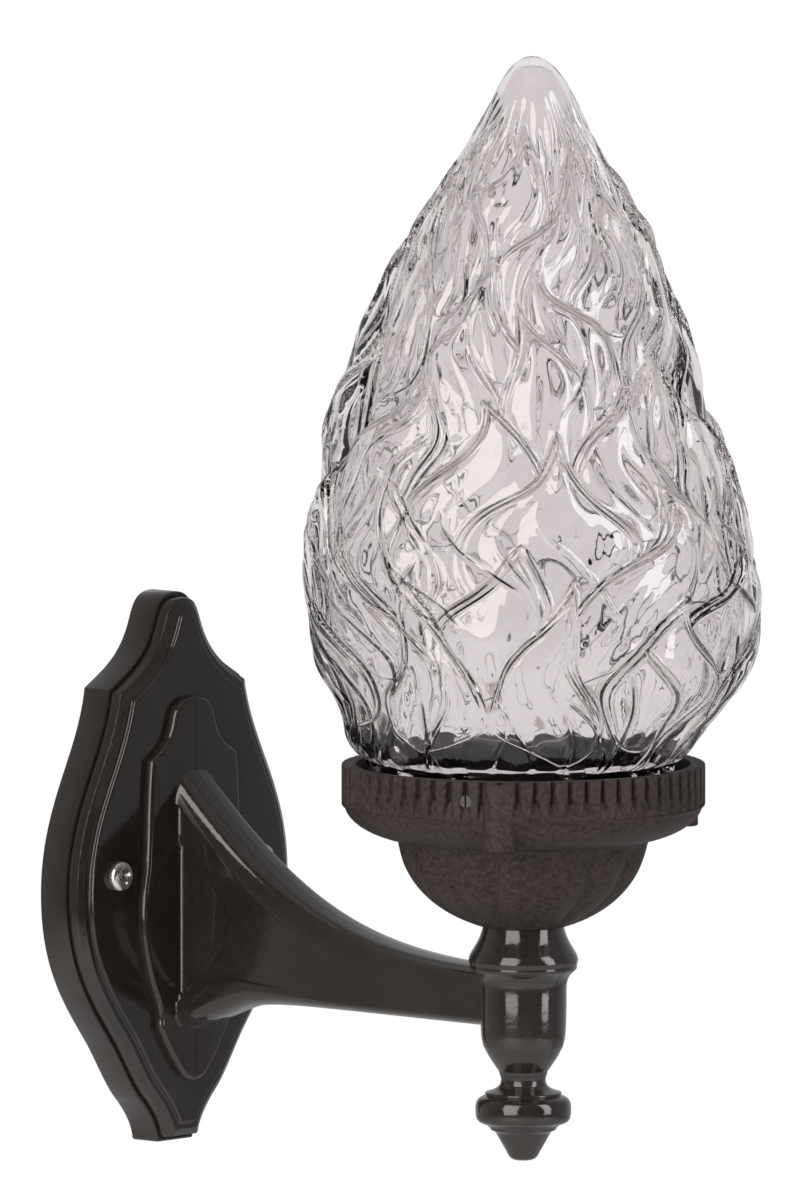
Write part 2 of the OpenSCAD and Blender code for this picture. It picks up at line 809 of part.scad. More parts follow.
// Smooth radius of the globe at a height.
function globe_base(z) =
    z <= neck_top_z ? neck_r
    : z < belly_z ? let (s = (belly_z - z) / (belly_z - neck_top_z))
        neck_r + (globe_r - neck_r) * pow(max(0, 1 - s * s), 0.75)
    : let (
        s = min(1, (z - belly_z) / (tip_z - belly_z)),
        flank = globe_r * pow(max(0, 1 - pow(s, 1.5)), 0.85),
        down = max(0, tip_z - z)
    )
        sqrt(flank * flank + 2 * tip_round * down * exp(-down / tip_fade));

// Half width of a tongue at a share of its length, in half pitches.
function tongue_half(v) = tongue_wide * sin(180 * pow(v, 0.62));

// Height of one tongue over the smooth form: u runs across it and v along it.
function tongue(u, v) =
    v <= 0 || v >= 1 ? 0
    : let (d = abs(u) / tongue_half(v))
        d >= 1 ? 0 : sqrt(1 - d * d) * (0.15 + 0.85 * pow(v, 1.5));

// Each row stands half a pitch round from the row below it.
function flame(turn, z) =
    max([for (k = [0:tongue_rows - 1])
        let (
            v = (z - neck_top_z - tongue_foot - k * row_pitch) / tongue_h,
            a = (turn - tongue_turn - tongue_lean * smooth(v)) * tongues / 360 + k / 2,
            u = 2 * (a - round(a))
        )
        tongue(u, v)
    ]);

function relief_fade(z) = smooth((z - neck_top_z) / 14) * smooth((tip_z - 6 - z) / 40);
function lean_at(z) =
    smooth((z - neck_top_z) / 25) * lean * (0.7 + cos(360 * (z - neck_top_z - 34) / 175));

// One ring of points, at a share of the way from the neck's top to the tip.
function globe_ring(z, wall, share) =
    let (
        x = lean_at(z),
        fade = relief_fade(z) * relief * share,
        inside = mean_relief * smooth((tip_z - 33 - z) / 16)
    )
    [for (j = [0:around - 1])
        let (a = 360 * j / around, r = globe_base(z) - wall + fade * (flame(a, z) - inside))
        [r * cos(a) + x * cos(lean_turn), r * sin(a) + x * sin(lean_turn), z]];
function globe_side(top, wall, share) = concat(
    [for (i = [0:rings - 1])
        let (s = 1 - pow(1 - i / rings, 1.25))
        each globe_ring(mix(neck_top_z, top, s), wall, share)],
    [[lean_at(top) * cos(lean_turn), lean_at(top) * sin(lean_turn), top]]
);

module globe() {
    outer = globe_side(tip_z, 0, 1);
    inner = globe_side(tip_z - 1.5 * glass_t, glass_t, inner_share);
    n = len(outer);
    last = (rings - 1) * around;
    faces = concat(
        [for (i = [0:rings - 2]) for (j = [0:around - 1])
            let (a = i * around + j, b = i * around + (j + 1) % around)
            each [
                [a, a + around, b], [b, a + around, b + around],
                [n + a, n + b, n + a + around], [n + b, n + b + around, n + a + around]
            ]],
        [for (j = [0:around - 1])
            let (k = (j + 1) % around)
            each [
                [last + j, n - 1, last + k], [n + last + j, n + last + k, 2 * n - 1],
                [n + j, j, k], [n + j, k, n + k]
            ]]
    );
    color([0.85, 0.84, 0.83, 0.4])
    at_post()
        polyhedron(concat(outer, inner), faces);
}

// The real glass is one piece. Its straight neck is drawn by itself, below the bend.
module globe_neck() {
    color([0.85, 0.84, 0.83, 0.4])
    at_post()
        translate([0, 0, globe_z])
            difference() {
                cylinder(r = neck_r, h = neck_h);
                translate([0, 0, -over])
                    cylinder(r = neck_r - glass_t, h = neck_h + 2 * over);
            }
}

// ---- Lampholder ----
cap_top_z = cap_z + cap_h;
sleeve_top_z = cap_top_z + sleeve_h;
insert_z = cap_top_z - 6;
insert_top_z = cap_top_z + 4;
insert_r = holder_r - holder_wall - 0.1;
shell_t = 0.5;

module lampholder_cap() {
    color("#1f1f20")
    at_post()
        difference() {
            rotate_extrude()
                polygon([
                    [0, cap_z], [tube_r + 3, cap_z], [tube_r + 3, cap_z + 2.5], [holder_r - 3, cap_z + 5],
                    [holder_r, cap_z + 9], [holder_r, cap_top_z], [0, cap_top_z]
                ]);
            rotate_extrude()
                polygon([
                    [0, cap_floor_z], [holder_r - holder_wall - 4, cap_floor_z + 1.5],
                    [holder_r - holder_wall, cap_z + 10.5], [holder_r - holder_wall, cap_top_z + over],
                    [0, cap_top_z + over]
                ]);
            translate([0, 0, cap_z - over])
                cylinder(r = tube_hole_r, h = 5 + 2 * over);
        }
}

module lampholder_insert() {
    color("#ddd8cc")
    at_post()
        difference() {
            translate([0, 0, insert_z])
                cylinder(r = insert_r, h = insert_top_z - insert_z);
            for (side = [-1, 1])
                translate([side * terminal_x, 0, insert_z - over])
                    cylinder(r = wire_r + 0.3, h = 5 + over);
        }
}

module lampholder_sleeve() {
    color("#1f1f20")
    at_post()
        difference() {
            translate([0, 0, cap_top_z])
                cylinder(r = holder_r, h = sleeve_h);
            translate([0, 0, cap_top_z - over])
                cylinder(r = holder_r - holder_wall, h = sleeve_h - 1.5 + over);
            translate([0, 0, cap_top_z])
                cylinder(r = thread_r + shell_t + 0.4, h = sleeve_h + over);
        }
}

module thread_shell() {
    shell_h = sleeve_top_z - 5 - insert_top_z;
    color("#c8a24a")
    at_post()
        translate([0, 0, insert_top_z])
            difference() {
                union() {
                    cylinder(r = thread_r + shell_t, h = shell_h);
                    cylinder(r = thread_r + shell_t + 2, h = 0.6);
                }
                translate([0, 0, -over])
                    cylinder(r = thread_r, h = shell_h + 2 * over);
            }
}

module centre_contact() {
    color("#c8a24a")
    at_post()
        translate([0, 0, insert_top_z]) {
            translate([-thread_r + 1, -2.5, 0])
                cube([thread_r + 1.5, 5, 0.6]);
            cylinder(r = 2.5, h = 2);
            translate([0, 0, 2])
                cylinder(r1 = 2.5, r2 = 1.2, h = 1);
        }
}

// ---- Wires, from the block through the arm and the tube to the lampholder ----
wire_y = 9; // depth of the terminals from the wall
wire_x = 1.3; // half distance between the two wires
terminal_x = 8; // half distance between the lampholder's terminals
wire_sides = 8;
wire_fine = 3; // rings along one stretch of a route
arm_way_1 = [foot_y + 2, -13];
arm_way_2 = [foot_y + arm_span * 0.35, -22];
arm_way_3 = [foot_y + arm_span * 0.7, arm_mid_z];
bend_y = reach - tube_r;

function arm_way(x) = [
    [x, -arm_way_1[0], arm_way_1[1]],
    [x, -arm_way_2[0], arm_way_2[1]],
    [x, -arm_way_3[0], arm_way_3[1]],
    [x, 5 - bend_y, arm_mid_z],
    [x, -bend_y - 1, arm_mid_z + 0.3],
    [x, -reach + 1, arm_mid_z + 3],
    [x, -reach, arm_mid_z + 8],
    [x, -reach, tube_top_z - 8],
    [x, -reach, tube_top_z + 1],
    [x * 2.6, -reach, tube_top_z + 4],
    [terminal_x * sign(x), -reach, insert_z - 1],
    [terminal_x * sign(x), -reach, insert_z + 4]
];
live_way = concat([
    [-5.4, -wire_y, block_mid + pole_dz],
    [-block_x - 4, -wire_y, block_mid + pole_dz],
    [-20, -wire_y, 22], [-22, -9.5, 13], [-20, -10, 4], [-13, -11, -5], [-5, -12.5, -10.5]
], arm_way(-wire_x));
neutral_way = concat([
    [-5.4, -wire_y, block_mid - pole_dz],
    [-block_x - 3.5, -wire_y, block_mid - pole_dz],
    [-16.5, -9.5, 12], [-15.5, -10, 5], [-10, -11, -1], [-3, -12.5, -6]
], arm_way(wire_x));

// A curve through every point of a route.
function through(p, i, t) =
    let (a = p[max(i - 1, 0)], b = p[i], c = p[i + 1], d = p[min(i + 2, len(p) - 1)])
    0.5 * (2 * b + (c - a) * t + (2 * a - 5 * b + 4 * c - d) * t * t
        + (3 * b - a - 3 * c + d) * t * t * t);
function fine_route(p) = concat(
    [for (i = [0:len(p) - 2]) for (j = [0:wire_fine - 1]) through(p, i, j / wire_fine)],
    [p[len(p) - 1]]
);
function unit(v) = v / norm(v);
function carried(side, along) = unit(side - (side * along) * along);
function frames(path, i = 0, side = [0, 0, 1], out = []) =
    i == len(path) ? out
    : let (
        along = unit(path[min(i + 1, len(path) - 1)] - path[max(i - 1, 0)]),
        s = carried(side, along)
    )
    frames(path, i + 1, s, concat(out, [[along, s]]));

module wire(way) {
    path = fine_route(way);
    axes = frames(path);
    n = len(path);
    points = [for (i = [0:n - 1]) let (s = axes[i][1], c = cross(axes[i][0], s))
        for (j = [0:wire_sides - 1]) let (a = 360 * j / wire_sides)
            path[i] + wire_r * (cos(a) * s + sin(a) * c)];
    faces = concat(
        [[for (j = [wire_sides - 1:-1:0]) j]],
        [[for (j = [0:wire_sides - 1]) (n - 1) * wire_sides + j]],
        [for (i = [0:n - 2]) for (j = [0:wire_sides - 1])
            let (a = i * wire_sides + j, b = i * wire_sides + (j + 1) % wire_sides)
            each [[a, b, a + wire_sides], [b, b + wire_sides, a + wire_sides]]]
    );
    polyhedron(points, faces);
}

module wire_live() {
    color("#6b4a2f")
        wire(live_way);
}

module wire_neutral() {
    color("#2f5f9a")
        wire(neutral_way);
}

wall_plate();
wall_strap();
cable_grommet();
plate_screws();
terminal_block();
terminal_screws();
block_screw();
arm_left();
arm_right();
foot_screws();
threaded_tube();
finial();
cup();
tube_washer();
tube_nut();
globe_gasket();
globe();
globe_neck();
set_screw_a();
set_screw_b();
set_screw_c();
lampholder_cap();
lampholder_insert();
lampholder_sleeve();
thread_shell();
centre_contact();
wire_live();
wire_neutral();
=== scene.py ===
import math
from functools import partial

import bmesh
import bpy
import numpy as np
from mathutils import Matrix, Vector


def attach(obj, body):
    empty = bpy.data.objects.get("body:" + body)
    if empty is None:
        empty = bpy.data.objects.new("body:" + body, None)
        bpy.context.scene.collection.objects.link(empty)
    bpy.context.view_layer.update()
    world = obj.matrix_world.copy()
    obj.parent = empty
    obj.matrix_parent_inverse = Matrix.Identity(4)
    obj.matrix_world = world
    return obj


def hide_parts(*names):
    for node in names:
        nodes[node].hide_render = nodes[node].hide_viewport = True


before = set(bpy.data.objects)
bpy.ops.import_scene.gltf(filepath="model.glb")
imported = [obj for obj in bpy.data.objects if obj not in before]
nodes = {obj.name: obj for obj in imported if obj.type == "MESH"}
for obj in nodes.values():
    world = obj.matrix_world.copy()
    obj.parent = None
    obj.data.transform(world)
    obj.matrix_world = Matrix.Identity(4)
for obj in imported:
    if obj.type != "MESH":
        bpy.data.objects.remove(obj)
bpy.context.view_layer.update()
mm = 0.001
reach = 164.0  # from the wall to the post's axis
halfGap = 0.1  # each half of the arm stands this far from the middle
print("frame loaded:", len(nodes), "nodes")

# Camera, with the photograph's direction and frame
cameraSizes = {
    "aim": (-0.02669, -0.13373, 0.09878),
    "turn": 48.6,
    "rise": 6.0,
    "distance": 11.765,
    "lens": 1080.0,  # a long lens, used from far off; any longer, and the frame's side views stand past their own far limit
}


def makeCamera(s):
    turn, rise = math.radians(s["turn"]), math.radians(s["rise"])
    forward = Vector((math.sin(turn) * math.cos(rise), math.cos(turn) * math.cos(rise), -math.sin(rise)))
    data = bpy.data.cameras.new("camera")
    data.lens = s["lens"]
    data.clip_end = 50
    camera = bpy.data.objects.new("camera", data)
    bpy.context.collection.objects.link(camera)
    camera.location = Vector(s["aim"]) - forward * s["distance"]
    camera.rotation_mode = "QUATERNION"
    camera.rotation_quaternion = forward.to_track_quat("-Z", "Y")
    bpy.context.scene.camera = camera
    return forward


forward = makeCamera(cameraSizes)
print("camera placed")


# Mesh helpers
def curvePoints(a, b, c, d, count, first=0):
    out = []
    for i in range(first, count + 1):
        t = i / count
        u = 1 - t
        out.append(tuple(u**3 * a[k] + 3 * u * u * t * b[k] + 3 * u * t * t * c[k] + t**3 * d[k] for k in (0, 1)))
    return out


def ease(x):
    x = np.clip(x, 0, 1)
    return x * x * (3 - 2 * x)


def smoothLine(points, corners, count=8):
    # a curve through the points, broken at the corners
    out = [points[0]]
    for i in range(len(points) - 1):
        b, c = points[i], points[i + 1]
        a = points[i - 1] if i > 0 and i not in corners else b
        d = points[i + 2] if i + 2 < len(points) and i + 1 not in corners else c
        for j in range(1, count + 1):
            t = j / count
            out.append(
                tuple(
                    0.5 * (2 * b[k] + (c[k] - a[k]) * t + (2 * a[k] - 5 * b[k] + 4 * c[k] - d[k]) * t * t
                           + (3 * b[k] - a[k] - 3 * c[k] + d[k]) * t**3)
                    for k in (0, 1)
                )
            )
    return out


def tidyMesh(mesh, sharp):
    work = bmesh.new()
    work.from_mesh(mesh)
    bmesh.ops.remove_doubles(work, verts=work.verts, dist=1e-6)
    bmesh.ops.dissolve_degenerate(work, edges=work.edges, dist=1e-7)
    bmesh.ops.recalc_face_normals(work, faces=work.faces)
    limit = math.radians(sharp)
    for face in work.faces:
        face.smooth = True
    for edge in work.edges:
        edge.smooth = len(edge.link_faces) == 2 and edge.calc_face_angle(0) < limit
    work.to_mesh(mesh)
    work.free()


def makePiece(name, points, faces, sharp=35):
    mesh = bpy.data.meshes.new(name)
    mesh.from_pydata([(p[0] * mm, p[1] * mm, p[2] * mm) for p in points], [], faces)
    tidyMesh(mesh, sharp)
    piece = bpy.data.objects.new(name, mesh)
    bpy.context.collection.objects.link(piece)
    return piece


def loftLoops(loops, caps=(True, True)):
    points, faces = [], []
    n = len(loops[0])
    for loop in loops:
        points.extend(loop)
    for i in range(len(loops) - 1):
        for j in range(n):
            a, b = i * n + j, i * n + (j + 1) % n
            faces.append((a, b, b + n, a + n))
    if caps[0]:
        faces.append(tuple(range(n)))
    if caps[1]:
        faces.append(tuple(range((len(loops) - 1) * n, len(loops) * n)))
    return points, faces


def addShell(shells, points, faces):
    start = len(shells[0])
    shells[0].extend(points)
    shells[1].extend(tuple(k + start for k in face) for face in faces)


def lathe(profile, segments, centreY=-reach, turns=None):
    # turns a profile of (radius, height) that starts and ends on the axis, or is a closed loop off it
    points, rows = [], []
    for r, z in profile:
        if r < 1e-6:
            rows.append([len(points)] * segments)
            points.append((0, centreY, z))
        else:
            rows.append(list(range(len(points), len(points) + segments)))
            for j in range(segments):
                a = turns[j] if turns else 2 * math.pi * j / segments
                points.append((r * math.cos(a), centreY + r * math.sin(a), z))
    onAxis = profile[0][0] < 1e-6
    count = len(rows) - 1 if onAxis else len(rows)
    faces = []
    for i in range(count):
        low, high = rows[i], rows[(i + 1) % len(rows)]
        for j in range(segments):
            k = (j + 1) % segments
            ring = [low[j], low[k], high[k], high[j]]
            face = tuple(dict.fromkeys(ring))
            if len(face) > 2:
                faces.append(face)
    return points, faces


def roundBar(x, z, r, near, far, sides=48):
    # a round bar square to the wall, between two depths
    loops = []
    for depth in (near, far):
        loops.append([
            (x + r * math.cos(2 * math.pi * j / sides), -depth, z + r * math.sin(2 * math.pi * j / sides))
            for j in range(sides)
        ])
    return loftLoops(loops)


def bakePiece(piece, sharp=35):
    deps = bpy.context.evaluated_depsgraph_get()
    deps.update()
    mesh = bpy.data.meshes.new_from_object(piece.evaluated_get(deps))
    piece.modifiers.clear()
    old = piece.data
    piece.data = mesh
    bpy.data.meshes.remove(old)
    mesh.name = piece.name
    tidyMesh(mesh, sharp)
    return piece


def cutPiece(piece, cutter, operation="DIFFERENCE", sharp=35):
    step = piece.modifiers.new("cut", "BOOLEAN")
    step.solver = "EXACT"
    step.operation = operation
    step.object = cutter
    bakePiece(piece, sharp)
    bpy.data.objects.remove(cutter)


def newTree(name, inputs):
    tree = bpy.data.node_groups.new(name, "GeometryNodeTree")
    tree.is_modifier = True
    tree.interface.new_socket("Geometry", in_out="INPUT", socket_type="NodeSocketGeometry")
    for label, kind in inputs:
        tree.interface.new_socket(label, in_out="INPUT", socket_type="NodeSocket" + kind)
    tree.interface.new_socket("Geometry", in_out="OUTPUT", socket_type="NodeSocketGeometry")
    return tree


def useTree(piece, tree, values):
    step = piece.modifiers.new("shape", "NODES")
    step.node_group = tree
    for item in tree.interface.items_tree:
        if item.in_out == "INPUT" and item.name in values:
            step[item.identifier] = values[item.name]


def treeTools(tree):
    def add(kind, **settings):
        node = tree.nodes.new(kind)
        for key, value in settings.items():
            setattr(node, key, value)
        return node

    def link(a, b):
        tree.links.new(a, b)

    def put(value, socket):
        if hasattr(value, "is_output"):
            link(value, socket)
        else:
            socket.default_value = value

    def calc(operation, a, b=0.0):
        node = add("ShaderNodeMath", operation=operation)
        put(a, node.inputs[0])
        put(b, node.inputs[1])
        return node.outputs[0]

    return add, link, put, calc


def sums(calc):
    return [partial(calc, kind) for kind in ("ADD", "SUBTRACT", "MULTIPLY", "DIVIDE")]


# Materials
def startMaterial(name):
    material = bpy.data.materials.new(name)
    material.use_nodes = True
    tree = material.node_tree
    shader = tree.nodes["Principled BSDF"]
    add, link, put, calc = treeTools(tree)
    coords = add("ShaderNodeTexCoord").outputs["Object"]
    return material, shader, add, link, put, calc, coords


def noiseOn(add, link, coords, scale, detail=3.0, rough=0.5):
    node = add("ShaderNodeTexNoise")
    link(coords, node.inputs["Vector"])
    node.inputs["Scale"].default_value = scale
    node.inputs["Detail"].default_value = detail
    node.inputs["Roughness"].default_value = rough
    return node.outputs["Fac"]


def rampOn(add, link, value, stops):
    node = add("ShaderNodeValToRGB")
    link(value, node.inputs["Fac"])
    line = node.color_ramp.elements
    while len(line) < len(stops):
        line.new(0.5)
    for spot, (place, colour) in zip(line, stops):
        spot.position = place
        spot.color = (*colour, 1.0)
    return node.outputs["Color"]


def mapOn(add, put, value, low, high, toLow=0.0, toHigh=1.0, kind="LINEAR"):
    node = add("ShaderNodeMapRange", interpolation_type=kind)
    labels = ("Value", "From Min", "From Max", "To Min", "To Max")
    for label, number in zip(labels, (value, low, high, toLow, toHigh)):
        put(number, node.inputs[label])
    return node.outputs["Result"]


def makeFinish(name, s):
    material, shader, add, link, put, calc, coords = startMaterial(name)
    broad = noiseOn(add, link, coords, s["patchScale"], 3)
    fine = noiseOn(add, link, coords, s["grainScale"], 2, 0.6)
    mixed = calc("ADD", calc("MULTIPLY", broad, 0.6), calc("MULTIPLY", fine, 0.4))
    colour = rampOn(add, link, mixed, [(0.36, s["dark"]), (0.64, s["light"])])
    link(colour, shader.inputs["Base Color"])
    link(mapOn(add, put, mixed, 0.35, 0.65, *s["rough"]), shader.inputs["Roughness"])
    shader.inputs["Metallic"].default_value = s.get("metal", 0.0)
    shader.inputs["Specular IOR Level"].default_value = s.get("shine", 0.5)
    if "coat" in s:
        shader.inputs["Coat Weight"].default_value = s["coat"][0]
        shader.inputs["Coat Roughness"].default_value = s["coat"][1]
    grain = fine
    if "brush" in s:
        brushed = add("ShaderNodeMapping")
        link(coords, brushed.inputs["Vector"])
        brushed.inputs["Scale"].default_value = s["brush"]
        lines = add("ShaderNodeTexNoise")
        link(brushed.outputs["Vector"], lines.inputs["Vector"])
        lines.inputs["Scale"].default_value = s["grainScale"]
        grain = lines.outputs["Fac"]
    bump = add("ShaderNodeBump")
    link(grain, bump.inputs["Height"])
    bump.inputs["Strength"].default_value = s["bump"][0]
    bump.inputs["Distance"].default_value = s["bump"][1]
    link(bump.outputs["Normal"], shader.inputs["Normal"])
    return material


finishes = {
    "glossBlack": {
        "dark": (0.0125, 0.0102, 0.0093), "light": (0.0185, 0.0153, 0.0138), "rough": (0.08, 0.15),
        "coat": (0.3, 0.05), "patchScale": 45.0, "grainScale": 420.0, "bump": (0.15, 0.0004), "shine": 0.36,
    },
    "texturedBlack": {
        "dark": (0.016, 0.0125, 0.0115), "light": (0.042, 0.032, 0.03), "rough": (0.42, 0.6),
        "patchScale": 560.0, "grainScale": 900.0, "bump": (0.8, 0.0002), "shine": 0.11,
    },
    "nickelScrew": {
        "dark": (0.5, 0.48, 0.45), "light": (0.72, 0.7, 0.67), "rough": (0.2, 0.36), "metal": 1.0,
        "patchScale": 220.0, "grainScale": 1500.0, "bump": (0.06, 0.0001),
    },
    "zincSteel": {
        "dark": (0.42, 0.43, 0.44), "light": (0.62, 0.63, 0.65), "rough": (0.3, 0.5), "metal": 1.0,
        "patchScale": 180.0, "grainScale": 1200.0, "bump": (0.25, 0.0003), "brush": (1.0, 1.0, 14.0),
    },
    # dark steel, darkened further as painted shade: the set screws stand in for the shaded holes they sit in
    "darkSteel": {
        "dark": (0.02, 0.019, 0.018), "light": (0.06, 0.056, 0.052), "rough": (0.28, 0.42), "metal": 1.0,
        "patchScale": 300.0, "grainScale": 1500.0, "bump": (0.2, 0.0002),
    },
    "brass": {
        "dark": (0.55, 0.38, 0.15), "light": (0.78, 0.58, 0.27), "rough": (0.22, 0.38), "metal": 1.0,
        "patchScale": 200.0, "grainScale": 1400.0, "bump": (0.2, 0.0002), "brush": (1.0, 1.0, 18.0),
    },
    "blackRubber": {
        "dark": (0.016, 0.016, 0.016), "light": (0.03, 0.029, 0.029), "rough": (0.7, 0.88),
        "patchScale": 90.0, "grainScale": 1600.0, "bump": (0.4, 0.0003),
    },
    "creamPlastic": {
        "dark": (0.66, 0.62, 0.5), "light": (0.76, 0.73, 0.62), "rough": (0.35, 0.5),
        "patchScale": 70.0, "grainScale": 1100.0, "bump": (0.15, 0.0002),
    },
    "blackPlastic": {
        "dark": (0.014, 0.013, 0.013), "light": (0.026, 0.024, 0.023), "rough": (0.3, 0.45),
        "patchScale": 70.0, "grainScale": 1100.0, "bump": (0.2, 0.0002),
    },
    "porcelain": {
        "dark": (0.72, 0.7, 0.65), "light": (0.82, 0.8, 0.76), "rough": (0.12, 0.22), "coat": (0.6, 0.06),
        "patchScale": 60.0, "grainScale": 500.0, "bump": (0.12, 0.0003),
    },
    "brownInsulation": {
        "dark": (0.1, 0.05, 0.025), "light": (0.15, 0.08, 0.04), "rough": (0.4, 0.55),
        "patchScale": 120.0, "grainScale": 1400.0, "bump": (0.2, 0.0002),
    },
    "blueInsulation": {
        "dark": (0.02, 0.07, 0.22), "light": (0.035, 0.11, 0.31), "rough": (0.4, 0.55),
        "patchScale": 120.0, "grainScale": 1400.0, "bump": (0.2, 0.0002),
    },
}
materials = {name: makeFinish(name, s) for name, s in finishes.items()}

# The flame's form, shared by the globe's mesh and the fine ropes in its glass
flameSizes = {
    "neckTop": 46.5, "tip": 277.3, "lean": 2.0, "leanTurn": -48.6,
    "leanFull": 25.0, "swayFrom": 34.0, "swayH": 175.0, "swayMean": 0.7,
    "tongues": 9, "rows": 8, "rowPitch": 22.6, "tongueH": 67.8, "foot": 54.0, "tongueTurn": 224.5, "tongueLean": 9.0,
    "tongueWide": 1.0, "widestAt": 0.5, "ogee": 1.5, "relief": 5.8, "swellFrom": 0.16,
    # how much rows and tongues differ in lean, length and hook, and how fast that changes from row to row
    "rowSwing": 1.3, "swingStep": 2.2, "shorter": 0.17, "shortStep": 1.9, "hook": 0.34, "hookStep": 2.6,
    "swellBend": 1.25, "swellPower": 0.75, "leastSwell": 0.12, "acrossPower": 0.6,
    # each bend: size, turns round the globe, degrees a millimetre of height, start
    "turnBends": [(6.0, 2, 3.4, 40), (3.6, 3, -5.6, 200), (1.8, 5, 8.5, 80)],
    "riseBends": [(3.4, 3, 2.2, 15), (2.2, 5, -4.0, 130)],
}
glassSizes = {
    "tint": (0.838, 0.806, 0.812),
    "index": 1.5,
    "shine": 0.8,
    # each rope: height, distance in from the tongue's edge, half width, where up the tongue it starts
    "ropes": [(0.62, 1.4, 0.95, -0.1), (0.5, 4.6, 0.9, 0.1)],
    # each family of strands: how many, degrees it sways, waves a millimetre, start, lean in degrees a millimetre
    "strands": [(17, 13.0, 0.052, 0.6, 0.14), (13, 17.0, 0.038, 2.9, -0.1)],
    "strandH": 0.6, "strandHalf": 1.0, "strandTo": 255.0,
    "strandKept": (0.46, 0.56), "strandNeck": (32.0, 14.0),  # kept where this noise is high, and all near the neck
    "mostRough": 0.02,
    "streakScale": (150.0, 150.0, 26.0),  # long up the flame, short across it
    "streakH": 0.32,
}


def tongueGroup(f, s):
    # one row of tongues: its height at a point, with and without its ropes
    group = bpy.data.node_groups.new("tongueRow", "ShaderNodeTree")
    for label in ("Turn", "Rise", "Radius", "Row"):
        group.interface.new_socket(label, in_out="INPUT", socket_type="NodeSocketFloat")
    for label in ("Plain", "Roped"):
        group.interface.new_socket(label, in_out="OUTPUT", socket_type="NodeSocketFloat")
    add, link, put, calc = treeTools(group)
    plus, minus, times, over = sums(calc)
    given = add("NodeGroupInput").outputs
    start = over(minus(given["Rise"], times(given["Row"], f["rowPitch"])), f["tongueH"])
    swing = plus(times(calc("SINE", times(given["Row"], f["swingStep"])), f["rowSwing"]), 1.0)
    leaned = times(times(start, swing), f["tongueLean"])
    turned = minus(minus(given["Turn"], f["tongueTurn"]), leaned)
    a = plus(times(turned, f["tongues"] / 360), times(given["Row"], 0.5))
    which = calc("ROUND", a)

    def vary(rounds, slope):
        byTongue = times(which, rounds * 2 * math.pi / f["tongues"])
        return calc("SINE", plus(byTongue, times(given["Row"], slope)))

    up = times(start, plus(times(vary(3, f["shortStep"]), f["shorter"]), 1 + f["shorter"]))
    v = calc("MINIMUM", calc("MAXIMUM", up, 0.0001), 0.9999)
    hook = times(times(times(v, v), vary(5, f["hookStep"])), f["hook"])
    u = times(calc("ABSOLUTE", minus(minus(a, which), hook)), 2.0)
    arch = calc("SINE", times(calc("POWER", v, f["widestAt"]), math.pi))
    half = times(calc("POWER", arch, f["ogee"]), f["tongueWide"])
    pitch = times(given["Radius"], math.pi / f["tongues"])
    edge = times(minus(half, u), pitch)
    inside = times(calc("GREATER_THAN", edge, 0.0),
                  times(calc("GREATER_THAN", given["Row"], -0.5), calc("LESS_THAN", up, 1.0)))
    d = calc("MINIMUM", over(u, calc("MAXIMUM", half, 0.001)), 1.0)
    t = calc("MAXIMUM", over(minus(v, f["swellFrom"]), 1 - f["swellFrom"]), 0.0)
    wave = calc("SINE", times(calc("POWER", t, f["swellBend"]), math.pi))
    swell = calc("POWER", calc("MAXIMUM", wave, 0.0), f["swellPower"])
    across = calc("POWER", calc("MAXIMUM", minus(1.0, times(d, d)), 0.0), f["acrossPower"])
    share = plus(times(swell, 1 - f["leastSwell"]), f["leastSwell"])
    body = times(times(share, f["relief"]), across)
    small = calc("MINIMUM", calc("MAXIMUM", over(pitch, 29.0), 0.45), 1.0)
    ropes = 0.0
    for high, inset, wide, start in s["ropes"]:
        off = over(minus(over(edge, small), inset), wide)
        bell = times(calc("EXPONENT", times(times(off, off), -1.0)), high)
        share = calc("MINIMUM", calc("MAXIMUM", times(minus(v, start), 6.0), 0.0), 1.0)
        ropes = plus(ropes, times(bell, share))
    shown = add("NodeGroupOutput").inputs
    link(times(body, inside), shown["Plain"])
    link(times(plus(body, times(ropes, small)), inside), shown["Roped"])
    return group


